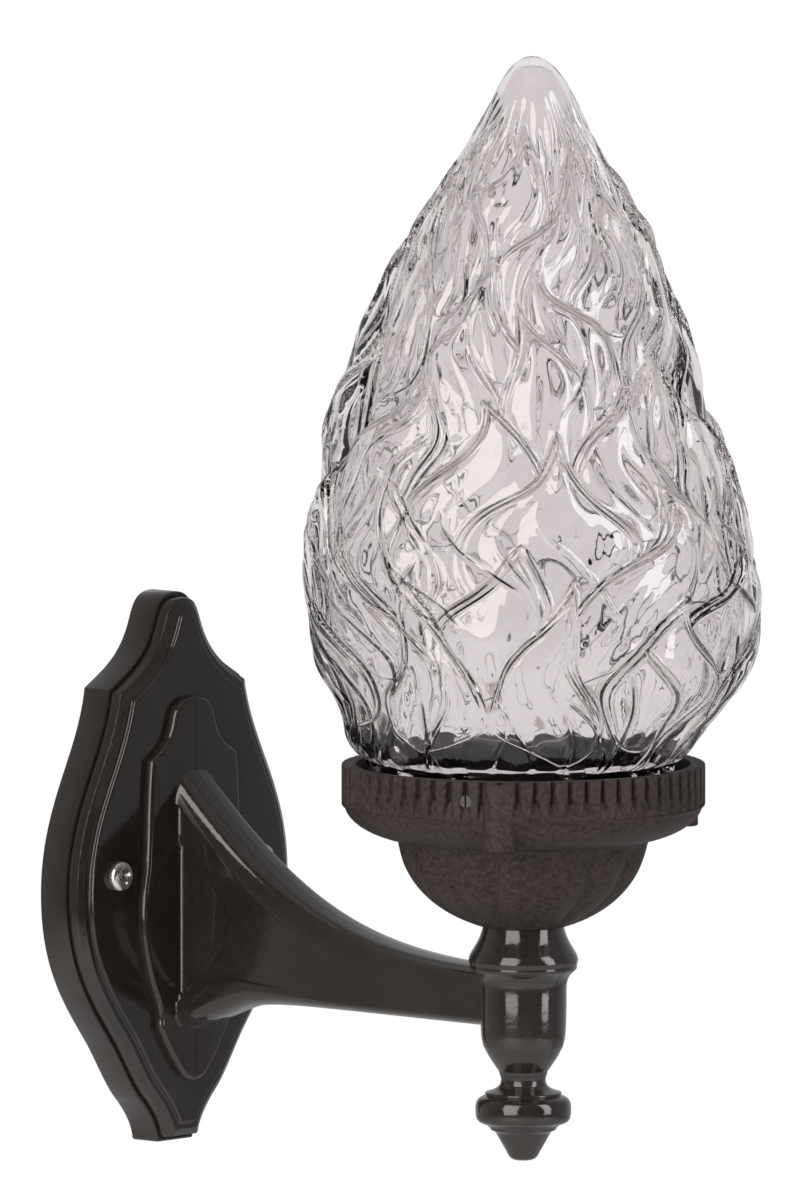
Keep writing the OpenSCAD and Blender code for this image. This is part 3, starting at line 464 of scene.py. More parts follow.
def makeGlass(f, s):
    material, shader, add, link, put, calc, coords = startMaterial("clearGlass")
    plus, minus, times, over = sums(calc)
    wide = noiseOn(add, link, coords, 30.0, 2)
    tint = rampOn(add, link, wide, [(0.3, tuple(c * 0.985 for c in s["tint"])), (0.7, s["tint"])])
    link(tint, shader.inputs["Base Color"])
    shader.inputs["Transmission Weight"].default_value = 1.0
    shader.inputs["IOR"].default_value = s["index"]
    shader.inputs["Specular IOR Level"].default_value = s["shine"]
    smear = mapOn(add, put, noiseOn(add, link, coords, 55.0, 2), 0.0, 1.0, 0.0, s["mostRough"])
    link(smear, shader.inputs["Roughness"])
    parts = add("ShaderNodeSeparateXYZ")
    link(coords, parts.inputs[0])
    z = times(parts.outputs[2], 1000.0)
    settled = mapOn(add, put, z, f["neckTop"], f["neckTop"] + f["leanFull"], kind="SMOOTHSTEP")
    sway = calc("COSINE", times(minus(z, f["neckTop"] + f["swayFrom"]), 2 * math.pi / f["swayH"]))
    lean = times(times(settled, f["lean"]), plus(sway, f["swayMean"]))
    leanTurn = math.radians(f["leanTurn"])
    x = minus(times(parts.outputs[0], 1000.0), times(lean, math.cos(leanTurn)))
    y = minus(times(parts.outputs[1], 1000.0), times(lean, math.sin(leanTurn)))
    y = plus(y, reach)
    radius = calc("SQRT", plus(times(x, x), times(y, y)))
    turn = times(calc("ARCTAN2", y, x), 180 / math.pi)

    def bent(value, rows):
        for size, rounds, slope, start in rows:
            angle = plus(times(turn, math.radians(rounds)), times(z, math.radians(slope)))
            value = plus(value, times(calc("SINE", plus(angle, math.radians(start))), size))
        return value

    bentTurn = bent(turn, f["turnBends"])
    bentRise = minus(bent(z, f["riseBends"]), f["foot"])
    group = tongueGroup(f, s)
    topRow = calc("FLOOR", over(bentRise, f["rowPitch"]))
    plain, roped = 0.0, 0.0
    for k in range(3):  # no more than three rows lie over one another
        row = add("ShaderNodeGroup", node_tree=group)
        values = (bentTurn, bentRise, radius, minus(topRow, k))
        for label, value in zip(("Turn", "Rise", "Radius", "Row"), values):
            put(value, row.inputs[label])
        plain = calc("MAXIMUM", plain, row.outputs["Plain"])
        roped = calc("MAXIMUM", roped, row.outputs["Roped"])
    stretch = add("ShaderNodeMapping")
    link(coords, stretch.inputs["Vector"])
    stretch.inputs["Scale"].default_value = s["streakScale"]
    streaks = times(noiseOn(add, link, stretch.outputs["Vector"], 1.0, 1), s["streakH"])
    share = add("ShaderNodeAttribute", attribute_name="streakShare").outputs["Fac"]
    uneven = plus(times(noiseOn(add, link, coords, 48.0, 1), 2.2), -0.2)
    strands = 0.0
    for k, (count, sway, wave, start, slope) in enumerate(s["strands"]):
        swayed = times(calc("SINE", plus(times(z, wave), start)), sway)
        drift = plus(plus(bentTurn, times(z, slope)), swayed)
        at = times(drift, count / 360)
        off = times(minus(at, calc("ROUND", at)), times(radius, 2 * math.pi / count))
        off = over(off, s["strandHalf"])
        bell = calc("EXPONENT", times(times(off, off), -1.0))
        patches = noiseOn(add, link, coords, 27.0 + 6.0 * k, 0)
        kept = mapOn(add, put, patches, *s["strandKept"], kind="SMOOTHSTEP")
        nearNeck = mapOn(add, put, z, *(f["neckTop"] + rise for rise in s["strandNeck"]), kind="SMOOTHSTEP")
        strands = plus(strands, times(bell, calc("MAXIMUM", kept, nearNeck)))
    under = times(calc("LESS_THAN", z, s["strandTo"]), s["strandH"])
    streaks = plus(streaks, times(strands, under))
    ropes = times(plus(times(minus(roped, plain), uneven), streaks), share)
    seeds = times(noiseOn(add, link, coords, 700.0, 1), 0.008)
    bump = add("ShaderNodeBump")
    link(plus(ropes, seeds), bump.inputs["Height"])
    bump.inputs["Strength"].default_value = 1.0
    bump.inputs["Distance"].default_value = mm
    link(bump.outputs["Normal"], shader.inputs["Normal"])
    return material


materials["clearGlass"] = makeGlass(flameSizes, glassSizes)
print("materials made:", len(materials))


def finishPiece(piece, finish, body, slotName, *replaced):
    piece.data.materials.clear()
    piece.data.materials.append(materials[finish])
    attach(piece, body)
    if replaced:
        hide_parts(*replaced)


# Wall plate
plateSizes = {
    "top": 91.0, "drop": 91.0, "crown": 10.5, "shoulder": (32.4, 61.0), "belly": (54.0, -6.0),
    "ankle": (16.0, -78.0), "base": 8.0,
    "tubeX": 35.0, "tubeR": 5.45, "tubeFrom": 4.5, "tubeTo": 15.2, "holeR": 2.7,
    "footHoleX": 4.4, "footHoleZ": (13, -35), "footHoleR": 1.9, "blockHoleZ": 26.0, "blockHoleR": 1.45,
    "slot": (7, 1, -23), "behind": 13.5, "past": 18.5,
    "steps": [
        (7.0, 14.5), (7.0, 8.3), (3.0, 8.3), (3.0, 0.0), (0.6, 0.0), (0.15, 0.15), (0.0, 0.6), (0.0, 10.6),
        (0.1, 11.0), (0.4, 11.25), (0.8, 11.3), (1.05, 11.1), (1.1, 10.7), (1.5, 10.7), (1.65, 11.3), (1.7, 11.5),
        (1.75, 14.2), (1.95, 14.75), (2.4, 15.05), (3.8, 15.8), (4.2, 16.0), (5.9, 16.0), (6.2, 16.1), (6.3, 16.35),
        (6.35, 17.05), (6.5, 17.35), (6.85, 17.5), (7.4, 17.5),
    ],
}


def plateOutline(s, count=18):
    top, drop, crown = s["top"], s["drop"], s["crown"]
    sw, sz = s["shoulder"]
    bw, bz = s["belly"]
    aw, az = s["ankle"]
    side = curvePoints((0, top), (crown * 0.6, top), (crown * 0.8, top - 3), (crown, top - 9), count)
    side += curvePoints((crown, top - 9), (crown + 4.5, top - 21), (sw - 9.4, sz + 5.5), (sw, sz), count, 1)
    side += curvePoints((sw, sz), (sw + 3.6, sz - 23), (bw, 30 + bz), (bw, bz), 2 * count, 1)
    side += curvePoints((bw, bz), (bw, bz - 26), (aw + 25, az + 33), (aw + 15, az + 20), 2 * count, 1)
    side += curvePoints((aw + 15, az + 20), (aw + 8, az + 10), (aw + 5.5, az + 5), (aw, az), count, 1)
    side += curvePoints((aw, az), (aw - 2.8, az - 3.2), (aw - 6.2, az - 7), (aw - 7, az - 11.8), count, 1)
    side += curvePoints((aw - 7, az - 11.8), (aw - 7.1, az - 12.5), (s["base"] + 0.6, -drop), (s["base"], -drop), 5, 1)
    side += [(s["base"] * (1 - k / 6), -drop) for k in range(1, 7)]
    return side


def closedLoop(side):
    return np.array(side + [(-x, z) for x, z in side[-2:0:-1]])


def insetLoop(loop, depth):
    if depth == 0:
        return loop.copy()
    before, after = loop - np.roll(loop, 1, 0), np.roll(loop, -1, 0) - loop
    before /= np.linalg.norm(before, axis=1)[:, None]
    after /= np.linalg.norm(after, axis=1)[:, None]
    n1 = np.stack([before[:, 1], -before[:, 0]], 1)
    n2 = np.stack([after[:, 1], -after[:, 0]], 1)
    n = n1 + n2
    n /= np.linalg.norm(n, axis=1)[:, None]
    stretch = 1 / np.maximum(0.6, (n * n1).sum(1))
    moved = loop + n * (depth * stretch)[:, None]
    a, b = loop, np.roll(loop, -1, 0)
    ab = b - a
    t = np.clip(((moved[:, None] - a[None]) * ab[None]).sum(2) / (ab * ab).sum(1)[None], 0, 1)
    gap = np.linalg.norm(moved[:, None] - (a[None] + t[..., None] * ab[None]), axis=2).min(1)
    good = np.flatnonzero(gap > depth * 0.985)
    spots = np.arange(len(loop))
    for k in (0, 1):
        moved[:, k] = np.interp(spots, good, moved[good, k], period=len(loop))
    return moved


def makePlate(s):
    outline = closedLoop(plateOutline(s))
    loops = [[(x, -depth, z) for x, z in insetLoop(outline, inset)] for inset, depth in s["steps"]]
    plate = makePiece("WallPlate", *loftLoops(loops))
    tubes = [[], []]
    for side in (-1, 1):
        addShell(tubes, *roundBar(side * s["tubeX"], 0, s["tubeR"], s["tubeFrom"], s["tubeTo"]))
    cutPiece(plate, makePiece("tubes", *tubes), "UNION")
    holes = [[], []]
    behind, past = s["behind"], s["past"]
    for side in (-1, 1):
        addShell(holes, *roundBar(side * s["tubeX"], 0, s["holeR"], -1, past))
        for z in s["footHoleZ"]:
            addShell(holes, *roundBar(side * s["footHoleX"], z, s["footHoleR"], behind, past, 24))
    addShell(holes, *roundBar(0, s["blockHoleZ"], s["blockHoleR"], behind, 16.5, 24))
    half, top, low = s["slot"]
    corners = ((-half, top), (half, top), (half, low), (-half, low))
    passage = [[(x, -depth, z) for x, z in corners] for depth in (behind, past)]
    addShell(holes, *loftLoops(passage))
    cutPiece(plate, makePiece("holes", *holes), sharp=24)
    finishPiece(plate, "glossBlack", "bracket", "gloss_black", "wall_plate")


makePlate(plateSizes)
print("wall plate made")

# Plate screws
screwSizes = {
    "headR": 5.0, "headH": 3.2, "shankR": 2.45, "tip": 0.8, "face": 17.5, "spacing": 70.0,
    "recess": 2.75, "crossTurn": 0.35,
}


def makeScrews(s):
    face, high, r = s["face"], s["headH"], s["headR"]
    profile = [(0, s["tip"]), (s["shankR"] - 0.5, s["tip"]), (s["shankR"], s["tip"] + 0.6), (s["shankR"], face)]
    profile += [(r - 0.15, face), (r, face + 0.15), (r, face + high * 0.33)]
    top = face + high
    profile += curvePoints((r, face + high * 0.33), (r, face + high * 0.85), (r * 0.72, top), (0, top), 14, 1)
    points, faces = lathe(profile, 64, 0.0)
    points = [(x, -z, y) for x, y, z in points]
    screw = makePiece("screwShape", points, faces)
    cross = []
    c, d = math.cos(s["crossTurn"]), math.sin(s["crossTurn"])
    for out, share, wide in ((-2.3, 0.5, 0.42), (0.6, 1.08, 0.68)):
        depth, half, notch = face + high + out, s["recess"] * share, wide * 1.15
        corner = [(half, wide), (notch, notch), (wide, half), (-wide, half), (-notch, notch), (-half, wide)]
        star = corner + [(-u, -w) for u, w in corner]
        cross.append([(u * c - w * d, -depth, u * d + w * c) for u, w in star])
    cutPiece(screw, makePiece("cross", *loftLoops(cross)), sharp=20)
    tree = newTree("rowOfScrews", [("Count", "Int"), ("Spacing", "Float"), ("Screw", "Object"), ("Finish", "Material")])
    add, link, put, calc = treeTools(tree)
    given = add("NodeGroupInput")
    row = add("GeometryNodeMeshLine")
    link(given.outputs["Count"], row.inputs["Count"])
    start = add("ShaderNodeCombineXYZ")
    link(calc("MULTIPLY", given.outputs["Spacing"], -0.5), start.inputs["X"])
    step = add("ShaderNodeCombineXYZ")
    link(given.outputs["Spacing"], step.inputs["X"])
    link(start.outputs[0], row.inputs["Start Location"])
    link(step.outputs[0], row.inputs["Offset"])
    source = add("GeometryNodeObjectInfo")
    link(given.outputs["Screw"], source.inputs["Object"])
    place = add("GeometryNodeInstanceOnPoints")
    link(row.outputs["Mesh"], place.inputs["Points"])
    link(source.outputs["Geometry"], place.inputs["Instance"])
    turn = add("ShaderNodeCombineXYZ")
    link(calc("MULTIPLY", add("GeometryNodeInputIndex").outputs[0], 0.9), turn.inputs["Y"])
    link(turn.outputs[0], place.inputs["Rotation"])
    real = add("GeometryNodeRealizeInstances")
    link(place.outputs[0], real.inputs[0])
    coat = add("GeometryNodeSetMaterial")
    link(real.outputs[0], coat.inputs["Geometry"])
    link(given.outputs["Finish"], coat.inputs["Material"])
    link(coat.outputs[0], add("NodeGroupOutput").inputs[0])
    holder = makePiece("PlateScrews", [(0, 0, 0), (1, 0, 0), (0, 0, 1)], [(0, 1, 2)])
    finish = materials["nickelScrew"]
    useTree(holder, tree, {"Count": 2, "Spacing": s["spacing"] * mm, "Screw": screw, "Finish": finish})
    bakePiece(holder, 20)
    bpy.data.objects.remove(screw)
    finishPiece(holder, "nickelScrew", "bracket", "zinc_steel", "plate_screws")


makeScrews(screwSizes)
print("plate screws made")

# Arm, foot and post, in two halves
armSizes = {
    "footY": 20.5, "tipY": 155.0, "half": 10.0, "roundTop": 10.0, "roundLow": 6.0,
    # each handle: share of the arm's length, height
    "topLine": [(0.0, 32.5), (0.33, -11.0), (0.56, -21.5), (1.0, -22.5)],
    "lowLine": [(0.0, -53.5), (0.3, -40.2), (0.05, -41.5), (1.0, -41.9)],
    "crown": 6.0, "sink": 1.5, "sinkFrom": 38.0, "sinkTo": 78.0,
    "panelDepth": 1.0, "panelReach": 22.2, "panelMid": -17.5, "panelUp": 28.0, "panelDown": 24.5,
    "lowLedge": [(17.0, 8.8), (24.0, 10.4), (35.0, 11.4), (45.0, 9.6), (55.0, 7.2), (70.0, 5.5), (160.0, 3.0)],
}
footSizes = {
    "edge": [(0.0, 17.5), (0.0, 19.1), (0.12, 19.7), (0.45, 20.15), (0.95, 20.42), (1.6, 20.5)],
}
postSizes = {
    "outer": [
        (13.3, -8.4), (13.75, -10.3), (14.75, -12.9), (16.1, -15.3), (17.3, -17.3), (17.85, -18.7), (18.0, -19.5),
        (17.8, -20.3), (17.6, -21.1), (17.6, -21.8), (17.35, -22.5), (16.3, -23.5), (15.1, -24.9), (14.45, -26.6),
        (14.2, -28.8), (14.15, -35.0), (14.0, -41.0), (13.75, -44.8), (13.1, -47.8),
        (11.2, -51.4), (9.1, -54.6), (8.2, -55.9), (7.95, -56.6), (7.7, -57.35),
    ],
    "corners": [18],
    "inner": [
        (5.05, -57.35), (5.05, -47.4), (8.5, -47.4), (11.5, -44.8), (11.5, -27.0), (13.8, -20.0), (11.2, -11.9),
        (5.05, -11.9), (5.05, -8.4),
    ],
}


def footOutline(count=14):
    side = curvePoints((0, 57), (5, 57), (9, 55), (10, 50), count)
    side += curvePoints((10, 50), (12, 41), (17, 40), (21, 37), count, 1)
    side += curvePoints((21, 37), (23, 20), (22, 10), (23.5, 0), count, 1)
    side += curvePoints((23.5, 0), (26, -12), (26, -20), (21.5, -35), count, 1)
    side += curvePoints((21.5, -35), (19.5, -42), (16, -44), (17, -52), count, 1)
    side += curvePoints((17, -52), (13, -60), (8, -66), (5, -69), count, 1)
    side += curvePoints((5, -69), (3, -70), (2, -70.5), (0, -70.5), count, 1)
    return side


def armSection(s, y, fit):
    top = np.interp(y, fit["topY"], fit["topZ"])
    low = np.interp(y, fit["lowY"], fit["lowZ"])
    tTop = np.interp(y, fit["topY"], fit["t"])
    tLow = np.interp(y, fit["lowY"], fit["t"])
    highRound = s["roundTop"] * (1 - 0.5 * ease((tTop - 0.4) / 0.45))
    lowRound = s["roundLow"] * (1 - 0.5 * ease((tLow - 0.4) / 0.45))
    crown = s["crown"]
    drops = ((0.4, 0.08), (0.75, 0.3), (0.93, 0.55), (1.0, 0.9))
    outer = [(halfGap, top)] + [(crown * share, top - drop) for share, drop in drops]
    for k in range(1, 17):
        a = math.radians(30 + 60 * k / 16)
        x = crown + (s["half"] - crown) * (math.sin(a) - 0.5) * 2
        outer.append((x, top - 0.9 - (highRound - 0.9) * (1 - math.cos(a) / math.cos(math.radians(30)))))
    highLedge = top - highRound - 0.2
    lowLedge = low + max(lowRound, np.interp(y, *zip(*s["lowLedge"])))
    fade = 1 - ease((y - s["sinkFrom"]) / (s["sinkTo"] - s["sinkFrom"]))
    for k in range(1, 56):
        z = highLedge + (lowLedge - highLedge) * (0.5 - 0.5 * math.cos(math.pi * k / 56))
        edge = min(highLedge - z, z - lowLedge)
        x = s["half"] - s["sink"] * fade * ease(edge / 0.6)
        up = (z - s["panelMid"]) / (s["panelUp"] if z > s["panelMid"] else s["panelDown"])
        bound = 20 + s["panelReach"] * (1 - up * up)
        x -= s["panelDepth"] * ease((bound - y) / 1.8) * ease(edge / 1.5)
        outer.append((x, z))
    outer.append((s["half"], lowLedge))
    for k in range(0, 15):
        a = math.radians(90 * k / 14)
        outer.append((2 + (s["half"] - 2) * math.cos(a), low + lowRound * (1 - math.sin(a))))
    outer.append((halfGap, low))
    near = max(0.0, 1 - (y - s["footY"]) / 1.3)
    fillet = 0.6 * (1 - math.sqrt(max(0.0, 1 - min(1.0, near) ** 2)))
    outer = [(x + fillet * min(1.0, max(0.0, x - 6) / 1.5), z) for x, z in outer]
    return outer + [(halfGap, low + 3.5), (5.9, low + 3.5), (5.9, top - 4.3), (halfGap, top - 4.3)]


def makeArmHalf(name, side, node):
    s = armSizes
    shells = [[], []]
    t = np.linspace(0, 1, 400)

    def along(line, k):
        u = 1 - t
        return u**3 * line[0][k] + 3 * u * u * t * line[1][k] + 3 * u * t * t * line[2][k] + t**3 * line[3][k]

    length = s["tipY"] - s["footY"]
    fit = {"t": t}
    for edge in ("top", "low"):
        fit[edge + "Y"] = s["footY"] + length * along(s[edge + "Line"], 0)
        fit[edge + "Z"] = along(s[edge + "Line"], 1)
    stations = [20.3, 20.5, 20.6, 20.75, 20.95, 21.2, 21.55, 22.0, 22.7]
    stations += list(np.linspace(23.6, 60, 36)) + list(np.linspace(61.4, s["tipY"], 60))
    loops = [[(side * x, -y, z) for x, z in armSection(s, y, fit)] for y in stations]
    addShell(shells, *loftLoops(loops))
    outline = closedLoop(footOutline())
    half = len(footOutline())
    loops = []
    for inset, depth in footSizes["edge"]:
        moved = insetLoop(outline, inset)[:half]
        loops.append([(side * max(x, halfGap), -depth, z) for x, z in moved])
    addShell(shells, *loftLoops(loops))
    profile = smoothLine(postSizes["outer"], postSizes["corners"], 6) + postSizes["inner"]
    turns = 80
    loops = []
    for j in range(turns + 1):
        a = math.radians(-90 + 180 * j / turns)
        loops.append([(side * max(r * math.cos(a), halfGap), -reach + r * math.sin(a), z) for r, z in profile])
    addShell(shells, *loftLoops(loops))
    piece = makePiece(name, *shells, sharp=30)
    finishPiece(piece, "glossBlack", "bracket", "gloss_black", node)


makeArmHalf("ArmRight", 1, "arm_right")
makeArmHalf("ArmLeft", -1, "arm_left")
print("arm halves made")

# Finial
finialSizes = {
    "segments": 144,
    "profile": [
        (5.05, -57.45), (7.65, -57.45), (7.35, -58.6), (7.4, -59.6), (7.9, -60.8), (9.2, -61.9), (11.2, -62.7),
        (12.4, -63.1), (12.55, -63.6), (12.4, -64.1), (12.7, -64.3), (13.7, -64.6), (14.9, -65.5), (15.55, -66.9),
        (15.7, -68.6), (15.6, -70.4), (15.2, -71.9), (14.3, -72.9), (12.6, -73.6), (11.9, -73.9), (11.6, -74.3),
        (11.0, -74.5), (10.85, -75.0), (10.5, -75.5), (9.6, -75.9), (9.0, -76.4), (8.0, -78.2), (6.9, -80.2),
        (5.7, -82.3), (4.7, -84.1), (3.8, -85.0), (2.2, -85.5), (0.0, -85.6),
    ],
    "corners": [1, 8, 10, 20, 22, 24],
}


def makeFinial(s):
    profile = [(0.0, -71.2), (5.05, -71.2)] + smoothLine(s["profile"], s["corners"], 5)
    finial = makePiece("Finial", *lathe(profile, s["segments"]), sharp=32)
    finishPiece(finial, "glossBlack", "bracket", "gloss_black", "finial")


makeFinial(finialSizes)
print("finial made")

# Cup
cupSizes = {
    "rim": 45.2, "corner": 31.0, "bowlTop": 20.3, "collarR": 59.5, "wall": 4.9, "bowlR": 41.3,
    "floor": -8.4, "floorR": 13.7, "ledge": 27.0, "holeR": 5.05,
    "flutes": 64, "fluteDepth": 2.2, "fluteHalf": 1.15, "fluteSpread": 0.9, "flareZ": 39.0, "endZ": 32.2,
    "panels": 14, "panelDepth": 2.3,
    "bosses": 3, "bossTurn": 213.0, "bossR": 5.7, "bossOut": 55.5, "bossLow": 22.5, "bossTop": 44.4,
    "screwLag": 10.5, "screwZ": 38.6, "screwR": 2.05,
}


def cupProfile(s):
    # (radius, height, share of the flutes, share of the panels), from the rim outwards and round
    r, rim, corner = s["collarR"], s["rim"], s["corner"]
    rows = [(r - 1.35, rim, 1, 0), (r - 0.5, rim, 1, 0), (r - 0.15, rim - 0.15, 1, 0), (r, rim - 0.5, 1, 0)]
    for k in range(1, 5):
        rows.append((r, rim - 0.5 + (s["flareZ"] + 0.5 - rim) * k / 4, 1, 0))
    for k in range(1, 9):
        rows.append((r, s["flareZ"] + (s["endZ"] - s["flareZ"]) * k / 8, 1, 0))
    rows.append((r - 0.02, s["endZ"] - 0.12, 0, 0))
    for k in range(1, 5):
        t = k / 4
        rows.append((r - 0.02 - 0.9 * t * t, s["endZ"] - 0.12 + (corner - s["endZ"] + 0.12) * t, 0, 0))
    for q in curvePoints((r - 0.92, corner), (r - 2.4, corner - 5.5), (s["bowlR"] + 8, s["bowlTop"] + 1.5),
                         (s["bowlR"] + 0.4, s["bowlTop"] + 0.25), 10, 1):
        rows.append((q[0], q[1], 0, 0))
    bowl = curvePoints((s["bowlR"], s["bowlTop"] - 0.25), (s["bowlR"] - 0.8, s["bowlTop"] - 11), (32, s["floor"] + 5.5),
                       (s["floorR"], s["floor"]), 26)
    for q in bowl:
        share = float(ease((s["bowlTop"] - q[1]) / 3.5) * ease((q[1] - s["floor"]) / 5.0))
        rows.append((q[0], q[1], 0, share))
    rows += [(s["holeR"], s["floor"], 0, 0), (s["holeR"], s["floor"] + 3, 0, 0)]
    inner = curvePoints((s["bowlR"] - 3, s["ledge"]), (s["bowlR"] - 4, s["bowlTop"] - 10), (28, s["floor"] + 6),
                        (s["floorR"], s["floor"] + 3), 8)
    rows += [(a, b, 0, 0) for a, b in inner[::-1]]
    inR = r - s["wall"]
    rows += [(inR, s["ledge"], 0, 0), (inR, rim - 0.4, 0, 0), (inR + 0.12, rim - 0.12, 0, 0), (inR + 0.4, rim, 0, 0)]
    return rows


def cupTree():
    tree = newTree("flutedCup", [
        ("Flutes", "Int"), ("Flute depth", "Float"), ("Flute half width", "Float"), ("Flute spread", "Float"),
        ("Spread from", "Float"), ("Spread to", "Float"), ("Collar radius", "Float"),
        ("Panels", "Int"), ("Panel depth", "Float"), ("Axis", "Vector"), ("Bosses", "Int"), ("Boss turn", "Float"),
        ("Boss", "Object"), ("Finish", "Material"),
    ])
    add, link, put, calc = treeTools(tree)
    plus, minus, times, over = sums(calc)
    given = add("NodeGroupInput").outputs
    fromAxis = add("ShaderNodeVectorMath", operation="SUBTRACT")
    link(add("GeometryNodeInputPosition").outputs[0], fromAxis.inputs[0])
    link(given["Axis"], fromAxis.inputs[1])
    parts = add("ShaderNodeSeparateXYZ")
    link(fromAxis.outputs[0], parts.inputs[0])
    x, y = parts.outputs[0], parts.outputs[1]
    angle = calc("ARCTAN2", y, x)
    radius = calc("SQRT", plus(times(x, x), times(y, y)))

    def share(name):
        node = add("GeometryNodeInputNamedAttribute", data_type="FLOAT")
        node.inputs["Name"].default_value = name
        return node.outputs["Attribute"]

    turns = times(angle, 1 / (2 * math.pi))
    place = minus(calc("FRACT", plus(times(turns, given["Flutes"]), 64.5)), 0.5)
    pitch = over(times(given["Collar radius"], 2 * math.pi), given["Flutes"])
    spread = mapOn(add, put, parts.outputs[2], given["Spread from"], given["Spread to"])
    half = plus(given["Flute half width"], times(given["Flute spread"], spread))
    across = over(calc("ABSOLUTE", times(place, pitch)), half)
    bend = plus(1.3, times(spread, 8.0))
    groove = minus(1.0, calc("POWER", calc("MINIMUM", across, 1.0), bend))
    deep = times(given["Flute depth"], minus(1.0, times(spread, 0.72)))
    limit = minus(given["Collar radius"], times(groove, deep))
    cut = calc("MINIMUM", radius, limit)
    fluteShare = share("fluteShare")
    kept = times(radius, minus(1.0, fluteShare))
    fluted = plus(times(cut, fluteShare), kept)
    lobe = calc("ABSOLUTE", calc("SINE", times(angle, times(given["Panels"], 0.5))))
    dip = times(minus(1.0, lobe), times(given["Panel depth"], share("panelShare")))
    newRadius = minus(fluted, dip)
    change = minus(over(newRadius, radius), 1.0)
    flat = add("ShaderNodeCombineXYZ")
    link(x, flat.inputs[0])
    link(y, flat.inputs[1])
    shift = add("ShaderNodeVectorMath", operation="SCALE")
    link(flat.outputs[0], shift.inputs[0])
    link(change, shift.inputs["Scale"])
    moved = add("GeometryNodeSetPosition")
    link(given["Geometry"], moved.inputs["Geometry"])
    link(shift.outputs[0], moved.inputs["Offset"])
    spots = add("GeometryNodePoints")
    link(given["Bosses"], spots.inputs["Count"])
    link(given["Axis"], spots.inputs["Position"])
    source = add("GeometryNodeObjectInfo")
    link(given["Boss"], source.inputs["Object"])
    turn = add("ShaderNodeCombineXYZ")
    third = over(times(add("GeometryNodeInputIndex").outputs[0], 2 * math.pi), given["Bosses"])
    link(plus(third, given["Boss turn"]), turn.inputs["Z"])
    placed = add("GeometryNodeInstanceOnPoints")
    link(spots.outputs[0], placed.inputs["Points"])
    link(source.outputs["Geometry"], placed.inputs["Instance"])
    link(turn.outputs[0], placed.inputs["Rotation"])
    both = add("GeometryNodeJoinGeometry")
    link(placed.outputs[0], both.inputs[0])
    link(moved.outputs[0], both.inputs[0])
    real = add("GeometryNodeRealizeInstances")
    link(both.outputs[0], real.inputs[0])
    coat = add("GeometryNodeSetMaterial")
    link(real.outputs[0], coat.inputs["Geometry"])
    link(given["Finish"], coat.inputs["Material"])
    link(coat.outputs[0], add("NodeGroupOutput").inputs[0])
    return tree


def makeCup(s):
    rows = cupProfile(s)
    pitch = 2 * math.pi / s["flutes"]
    half = [3.2, 6.5, 9.95, 10.05, 16.5, 18.2]  # tenths of a millimetre from the middle of a flute
    places = [k * 0.1 for k in [-k for k in half[::-1]] + [0] + half + [27.0]]
    turns = [(j + place / (s["collarR"] * pitch)) * pitch for j in range(s["flutes"]) for place in places]
    n = len(turns)
    points, faces = lathe([(r, z) for r, z, a, b in rows], n, turns=turns)
    mesh = bpy.data.meshes.new("Cup")
    mesh.from_pydata([(p[0] * mm, p[1] * mm, p[2] * mm) for p in points], [], faces)
    for name, k in (("fluteShare", 2), ("panelShare", 3)):
        values = mesh.attributes.new(name, "FLOAT", "POINT")
        values.data.foreach_set("value", np.repeat([float(row[k]) for row in rows], n))
    cup = bpy.data.objects.new("Cup", mesh)
    bpy.context.collection.objects.link(cup)
    loops = []
    for z, grow, back in (
        (s["bossLow"], -0.35, 0), (s["bossLow"] + 0.12, -0.1, 0), (s["bossLow"] + 0.4, 0, 0),
        (26.6, 0, 0), (27.4, 0, 1),
        (s["bossTop"] - 0.4, 0, 1), (s["bossTop"] - 0.12, -0.1, 1), (s["bossTop"], -0.35, 1),
    ):
        loop = []
        for j in range(56):
            a = 2 * math.pi * j / 56
            x = s["bossOut"] + (s["bossR"] + grow) * math.cos(a)
            loop.append((max(x, 55.4) if back else x, (s["bossR"] + grow) * math.sin(a), z))
        loops.append(loop)
    boss = makePiece("bossShape", *loftLoops(loops))
    useTree(cup, cupTree(), {
        "Flutes": s["flutes"], "Flute depth": s["fluteDepth"] * mm, "Flute half width": s["fluteHalf"] * mm,
        "Flute spread": s["fluteSpread"] * mm, "Spread from": s["flareZ"] * mm, "Spread to": s["endZ"] * mm,
        "Collar radius": s["collarR"] * mm, "Panels": s["panels"], "Panel depth": s["panelDepth"] * mm,
        "Axis": (0.0, -reach * mm, 0.0), "Bosses": s["bosses"], "Boss turn": math.radians(s["bossTurn"]), "Boss": boss,
        "Finish": materials["texturedBlack"],
    })
    bakePiece(cup, 28)
    bpy.data.objects.remove(boss)
    holes = [[], []]
    for k in range(3):
        a = math.radians(s["bossTurn"] - s["screwLag"] + 120 * k)
        out, across = Vector((math.cos(a), math.sin(a), 0)), Vector((-math.sin(a), math.cos(a), 0))
        loops = []
        for r, wider in ((53.0, 0), (59.0, 0), (59.6, 0.25), (61.5, 1.2)):
            wide = s["screwR"] + wider
            loop = []
            for j in range(40):
                b = 2 * math.pi * j / 40
                q = out * r + across * (wide * math.cos(b)) + Vector((0, -reach, s["screwZ"] + wide * math.sin(b)))
                loop.append(tuple(q))
            loops.append(loop)
        addShell(holes, *loftLoops(loops))
    cutPiece(cup, makePiece("holes", *holes), sharp=28)
    finishPiece(cup, "texturedBlack", "bracket", "textured_black", "cup")


makeCup(cupSizes)
print("cup made")

# Globe
globeSizes = {
    **flameSizes,
    "neckR": 50.0, "wideR": 74.5, "low": 29.3, "wideZ": 100.3, "wall": 2.6, "tipRound": 6.5, "tipFade": 14.0,
    "inside": 3.3, "stems": 19, "stemH": 1.7, "lumpH": 0.8, "mostR": 75.3, "blunt": 0.7,
    "around": 384, "up": 214, "innerAround": 128, "innerUp": 80, "innerShare": 0.4,
}


